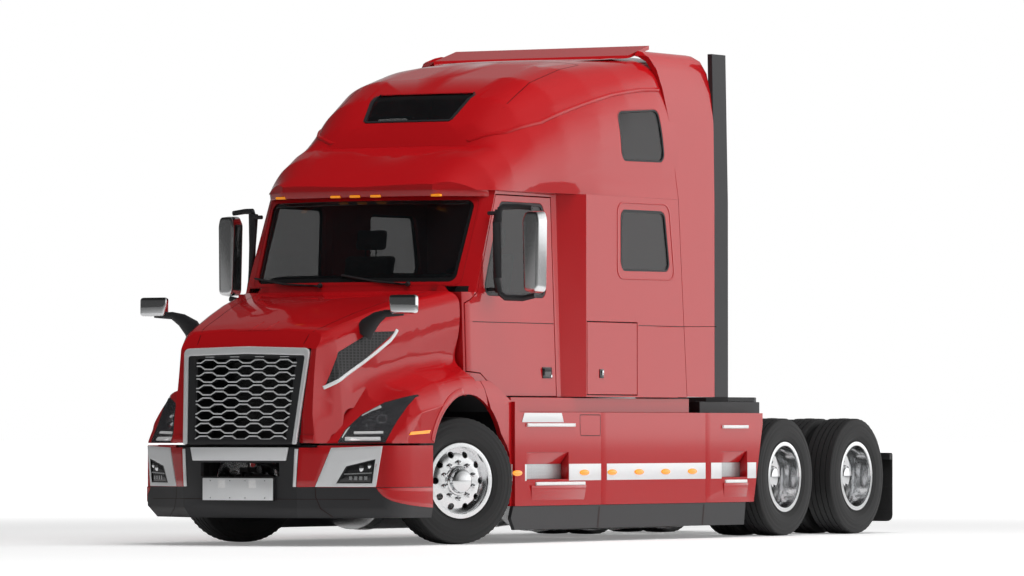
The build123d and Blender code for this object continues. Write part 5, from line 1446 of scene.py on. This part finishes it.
def seats():
    for name, side in SIDES.items():
        x = SEAT_X * side
        form = bmesh.new()
        crowned(form, at(x - 0.270, SEAT_Y - 0.430, 1.628), at(x + 0.270, SEAT_Y + 0.060, 1.760), 0.045)
        pad("seat_cushion_" + name, form, 0.014)
        form = bmesh.new()
        leaned(form, ((SEAT_Y - 0.045, 1.765), (SEAT_Y + 0.062, 1.765), (SEAT_Y + 0.172, 2.335),
                      (SEAT_Y + 0.090, 2.335)), x - 0.245, x + 0.245, 0.034)
        pad("seat_back_" + name, form, 0.014)
        form = bmesh.new()
        leaned(form, ((SEAT_Y + 0.092, 2.365), (SEAT_Y + 0.172, 2.365), (SEAT_Y + 0.190, 2.525),
                      (SEAT_Y + 0.120, 2.525)), x - 0.135, x + 0.135, 0.026)
        pad("headrest_" + name, form, 0.010, limit=0.012)
    form = bmesh.new()
    for x in (SEAT_X, -SEAT_X):
        box(form, at(x - 0.180, SEAT_Y - 0.350, 1.235), at(x + 0.180, SEAT_Y + 0.020, 1.622))
        for across in (-0.05, 0.05):
            rod(form, put(((x + across, SEAT_Y + 0.128, 2.28), (x + across, SEAT_Y + 0.138, 2.45))), 0.006, sides=8)
    finished("seat_bases", form, "plastic", soften=0.012, replaced=["seats_and_bunk"])


def bunk():
    low, high = skin_box("seats_and_bunk")
    form = bmesh.new()
    crowned(form, (low.x + 0.004, at(0, 2.424, 0).y, 1.606), (high.x - 0.004, high.y - 0.004, 1.826), 0.060)
    pad("bunk_mattress", form, 0.030, "bunk")
    form = bmesh.new()
    box(form, (low.x + 0.056, at(0, 2.642, 0).y, low.z + 0.002), (high.x - 0.056, high.y - 0.002, 1.604))
    finished("bunk_base", form, "plastic", soften=0.01, replaced=["seats_and_bunk"])


def skin_box(node):
    """Opposite corners of a CAD node."""
    points = [vert.co for vert in NODES[node].data.vertices]
    return (Vector([min(point[axis] for point in points) for axis in range(3)]),
            Vector([max(point[axis] for point in points) for axis in range(3)]))


class TRACTOR_OT_interior(bpy.types.Operator):
    """Padded seats and bunk"""
    bl_idname = "tractor.interior"
    bl_label = "Seats and bunk"

    def execute(self, context):
        seats()
        bunk()
        return {"FINISHED"}


# ---------------------------------------------------------------- wheels and tyres
TYRE_R = 0.5
SIDEWALL = (                # (half width, radius) from bead to shoulder, with its moulded rings
    (0.1085, 0.2868), (0.1120, 0.3000), (0.1180, 0.3085), (0.1240, 0.3110), (0.1262, 0.3150), (0.1245, 0.3185),
    (0.1290, 0.3260), (0.1345, 0.3420), (0.1365, 0.3440), (0.1372, 0.3490), (0.1395, 0.3640), (0.1408, 0.3800),
    (0.1418, 0.3815), (0.1422, 0.3950), (0.1412, 0.3965), (0.1405, 0.4180), (0.1396, 0.4195), (0.1388, 0.4300),
    (0.1372, 0.4315), (0.1350, 0.4480), (0.1362, 0.4520), (0.1330, 0.4640), (0.1310, 0.4700), (0.1290, 0.4850),
)
TYRE_INSIDE = ((0.095, 0.300), (0.110, 0.36), (0.110, 0.42), (0.085, 0.462))
TREAD_HALF, TREAD_CROWN, GROOVE_WIDTH, GROOVE_SLOPE, GROOVE_DEPTH, RIBS = 0.121, 0.004, 0.010, 0.0015, 0.014, 5
STEER_PITCHES, DRIVE_PITCHES = 60, 44
SHOULDER_SIPE, DRIVE_SIPE = 0.006, 0.0035
TREAD_EDGE, SHOULDER_START, MIDDLE_RIBS = 0.124, 0.10, 0.06


def tread_profile():
    """(along, radius) points over the tread from one shoulder to the other, with its grooves."""
    rib = (2 * TREAD_HALF - (RIBS - 1) * GROOVE_WIDTH) / RIBS
    points = []
    for index in range(RIBS):
        low = -TREAD_HALF + index * (rib + GROOVE_WIDTH)
        for along in (low, low + rib):
            points.append((along, TYRE_R - TREAD_CROWN * (along / TREAD_HALF) ** 2))
        if index < RIBS - 1:
            points += [(low + rib + GROOVE_SLOPE, TYRE_R - GROOVE_DEPTH),
                       (low + rib + GROOVE_WIDTH - GROOVE_SLOPE, TYRE_R - GROOVE_DEPTH)]
    return points


def tyre_form(form, middle, drive):
    """Tyre round the X axis at a place along it: moulded sidewalls, and a tread with grooves and sipes."""
    profile = [(-along, radius) for along, radius in SIDEWALL] + tread_profile()
    profile += [*reversed(SIDEWALL), *TYRE_INSIDE, *mirror_line(TYRE_INSIDE)]
    steps = 2 * (DRIVE_PITCHES if drive else STEER_PITCHES)
    before = set(form.verts)
    turned(form, [(along + middle, radius) for along, radius in profile], steps=steps, closed=True)
    cut_sipes([vert for vert in form.verts if vert not in before], middle, steps, drive)


def cut_sipes(verts, middle, steps, drive):
    """Sink every second line of tread points: right across on drive tyres, at the shoulders on steer tyres."""
    for vert in verts:
        radius = hypot(vert.co.y, vert.co.z)
        along = vert.co.x - middle
        if radius < TYRE_R - GROOVE_DEPTH / 2 or abs(along) > TREAD_EDGE:
            continue
        step = round(atan2(vert.co.y, vert.co.z) / (2 * pi) * steps) % steps
        offset = 1 if drive and abs(along) < MIDDLE_RIBS else 0
        if (step + offset) % 2:
            continue
        depth = DRIVE_SIPE if drive else (SHOULDER_SIPE if abs(along) > SHOULDER_START else 0.0)
        if depth:
            factor = (radius - depth) / radius
            vert.co.y *= factor
            vert.co.z *= factor


RIM_PROFILE = (             # (half width, radius): one half of the rim, outer lip first
    (0.1250, 0.2630), (0.1255, 0.2900), (0.1240, 0.2970), (0.1195, 0.2985), (0.1140, 0.2975), (0.1110, 0.2925),
    (0.1090, 0.2860), (0.0700, 0.2845), (0.0420, 0.2660),
)
RIM_INSIDE = ((0.0400, 0.2560), (0.0680, 0.2600), (0.1000, 0.2610), (0.1180, 0.2600))


def mirror_line(points):
    """(along, radius) points on the other side, in turned order."""
    return [(-along, radius) for along, radius in reversed(points)]


def rim_form(form, middle):
    profile = [*RIM_PROFILE, *mirror_line(RIM_PROFILE), *mirror_line(RIM_INSIDE), *RIM_INSIDE]
    turned(form, [(along + middle, radius) for along, radius in profile], steps=96, closed=True)


DISC_REACH = (0.150, 0.262)     # radii between which the disc is pierced
HOLE_RINGS = (1.35, 1.12, 1.0)  # rings of faces round a hand hole, in radii of the hole


def disc_form(form, profile, thick, holes=10, circle=0.212, radius=0.027):
    """Pressed disc whose face follows (radius, along) points, pierced by round hand holes."""
    pitch = 2 * pi / holes
    inner, outer = DISC_REACH
    made = []
    for index in range(holes):
        turn = Matrix.Rotation(pitch * (index + 0.5), 4, "X")
        rim_side = [(outer, (step / 5 - 0.5) * pitch) for step in range(6)]
        hub_side = [(inner, (0.5 - step / 5) * pitch) for step in range(6)]
        right = [(outer + (inner - outer) * step / 5, pitch / 2) for step in range(1, 5)]
        left = [(inner + (outer - inner) * step / 5, -pitch / 2) for step in range(1, 5)]
        loop = rim_side + right + hub_side + left
        border = [form.verts.new(turn @ Vector((0, r * sin(a), r * cos(a)))) for r, a in loop]
        rings = [border]
        for grow in HOLE_RINGS:
            ring = []
            for r, a in loop:
                point = Vector((0, r * sin(a), r * cos(a) - circle))
                point = point.normalized() * radius * grow + Vector((0, 0, circle))
                ring.append(form.verts.new(turn @ point))
            rings.append(ring)
        for ring, following in zip(rings, rings[1:]):
            made += ring_faces(form, ring, following)
    bmesh.ops.remove_doubles(form, verts=verts_of(made), dist=1e-5)
    hub_edges = [edge for edge in form.edges if edge.is_boundary
                 and all(abs(hypot(vert.co.y, vert.co.z) - inner) < 1e-4 for vert in edge.verts)]
    inward = bmesh.ops.extrude_edge_only(form, edges=hub_edges)
    bmesh.ops.scale(form, vec=(1, 0.5, 0.5), verts=new_verts(inward))
    for vert in verts_of(form.faces):
        vert.co.x = along_at(hypot(vert.co.y, vert.co.z), profile)
    bmesh.ops.recalc_face_normals(form, faces=form.faces)
    bmesh.ops.solidify(form, geom=form.faces[:], thickness=thick)


def along_at(radius, profile):
    """Place of a disc's face at a radius, eased between (radius, along) points."""
    for (r0, a0), (r1, a1) in zip(profile, profile[1:]):
        if radius <= r1:
            t = max((radius - r0) / (r1 - r0), 0)
            return a0 + (a1 - a0) * t * t * (3 - 2 * t)
    return profile[-1][1]


DISC_THICK, TWIN_OFFSET = 0.018, 0.1675
FRONT_DISC = ((0.0, 0.092), (0.172, 0.092), (0.190, 0.090), (0.262, 0.066))
DRIVE_DISC = ((0.0, 0.020), (0.168, 0.020), (0.200, 0.034), (0.262, 0.086))
FRONT_HUB = (
    (0.080, 0.0), (0.080, 0.118), (0.100, 0.118), (0.108, 0.113), (0.114, 0.100), (0.128, 0.096), (0.146, 0.090),
    (0.154, 0.080), (0.156, 0.072), (0.161, 0.056), (0.1645, 0.036), (0.166, 0.016), (0.1663, 0.0),
)
DRIVE_HUB = (
    (0.010, 0.0), (0.010, 0.112), (0.040, 0.112), (0.055, 0.105), (0.120, 0.098), (0.180, 0.094), (0.190, 0.088),
    (0.194, 0.080), (0.203, 0.072), (0.207, 0.050), (0.209, 0.020), (0.2095, 0.0),
)
LUG_CAP = (
    (0.0, 0.0), (0.0, 0.0215), (0.004, 0.0215), (0.006, 0.0175), (0.024, 0.0165), (0.031, 0.0135), (0.034, 0.007),
    (0.0345, 0.0),
)


def lug_ring(form, face_x, count=10, circle=0.142):
    """Ring of bullet-shaped nut covers."""
    for index in range(count):
        turned_at(form, LUG_CAP, 14,
                  Matrix.Rotation(2 * pi * index / count, 4, "X") @ Matrix.Translation((face_x, 0, circle)))


STEER_AT_REST = radians(-25)
KINGPIN_ACROSS, STEER_OFFSET, DRIVE_ACROSS = 0.9, 0.135, 0.91
DRIVE_AXLES = {"drive_front": 5.17, "drive_rear": 6.49}


def wheel_place(axle, side):
    """Where a wheel built about the X axis, facing +X, stands."""
    facing = Matrix.Identity(4) if side > 0 else Matrix.Rotation(pi, 4, "Z")
    if axle == "front":
        kingpin = Matrix.Translation(at(side * KINGPIN_ACROSS, 0, TYRE_R)) @ Matrix.Rotation(STEER_AT_REST, 4, "Z")
        return kingpin @ Matrix.Translation((side * STEER_OFFSET, 0, 0)) @ facing
    return Matrix.Translation(at(side * DRIVE_ACROSS, DRIVE_AXLES[axle], TYRE_R)) @ facing


def wheel_names(axle, side_name):
    if axle == "front":
        return f"front_wheel_{side_name}", f"front_tyre_{side_name}", f"front_wheel_{side_name}"
    end = axle.split("_")[1]
    return f"drive_wheels_{end}_{side_name}", f"drive_tyres_{end}_{side_name}", f"drive_{end}_{side_name}"


class TRACTOR_OT_wheels(bpy.types.Operator):
    """Moulded tyres, polished discs, hub covers and nut caps"""
    bl_idname = "tractor.wheels"
    bl_label = "Wheels and tyres"

    def execute(self, context):
        for axle in ("front", "drive_front", "drive_rear"):
            drive = axle != "front"
            for side_name, side in SIDES.items():
                wheel, tyre, body = wheel_names(axle, side_name)
                tyres, discs, covers = bmesh.new(), bmesh.new(), bmesh.new()
                disc_form(discs, DRIVE_DISC if drive else FRONT_DISC, DISC_THICK)
                for middle in (TWIN_OFFSET, -TWIN_OFFSET) if drive else (0.0,):
                    tyre_form(tyres, middle, drive)
                    rim_form(discs, middle)
                turned(covers, DRIVE_HUB if drive else FRONT_HUB, steps=64)
                lug_ring(covers, DRIVE_DISC[0][1] if drive else FRONT_DISC[0][1])
                for form in (tyres, discs, covers):
                    form.transform(wheel_place(axle, side))
                finished(tyre + "_moulded", tyres, "tyre", body, angle=28, replaced=[tyre])
                finished(wheel + "_polished", discs, "alloy", body, angle=30, replaced=[wheel])
                finished(wheel + "_hub_cover", covers, "chrome", body, angle=30)
        return {"FINISHED"}


class TRACTOR_PT_sidebar(bpy.types.Panel):
    """Lists the tractor's finishes and pieces"""
    bl_label = "Sleeper Tractor"
    bl_space_type = "VIEW_3D"
    bl_region_type = "UI"
    bl_category = "Tractor"

    def draw(self, context):
        layout = self.layout
        for group in (context.scene.tractor_paint, context.scene.tractor_studio):
            for name in group.__annotations__:
                layout.prop(group, name)
        for operator in OPERATORS:
            layout.operator(operator.bl_idname)


OPERATORS = (
    TRACTOR_OT_finishes, TRACTOR_OT_panels, TRACTOR_OT_front, TRACTOR_OT_hood, TRACTOR_OT_cab,
    TRACTOR_OT_sides, TRACTOR_OT_rear, TRACTOR_OT_interior, TRACTOR_OT_wheels, TRACTOR_OT_stage,
)
CLASSES = (TractorPaint, TractorStudio, *OPERATORS, TRACTOR_PT_sidebar)


def register():
    for cls in CLASSES:
        bpy.utils.register_class(cls)
    bpy.types.Scene.tractor_paint = PointerProperty(type=TractorPaint)
    bpy.types.Scene.tractor_studio = PointerProperty(type=TractorStudio)


def unregister():
    del bpy.types.Scene.tractor_studio
    del bpy.types.Scene.tractor_paint
    for cls in reversed(CLASSES):
        bpy.utils.unregister_class(cls)


def main():
    """Build the whole truck."""
    register()
    for operator in OPERATORS:
        group, name = operator.bl_idname.split(".")
        getattr(getattr(bpy.ops, group), name)()


if __name__ == "__main__":
    main()
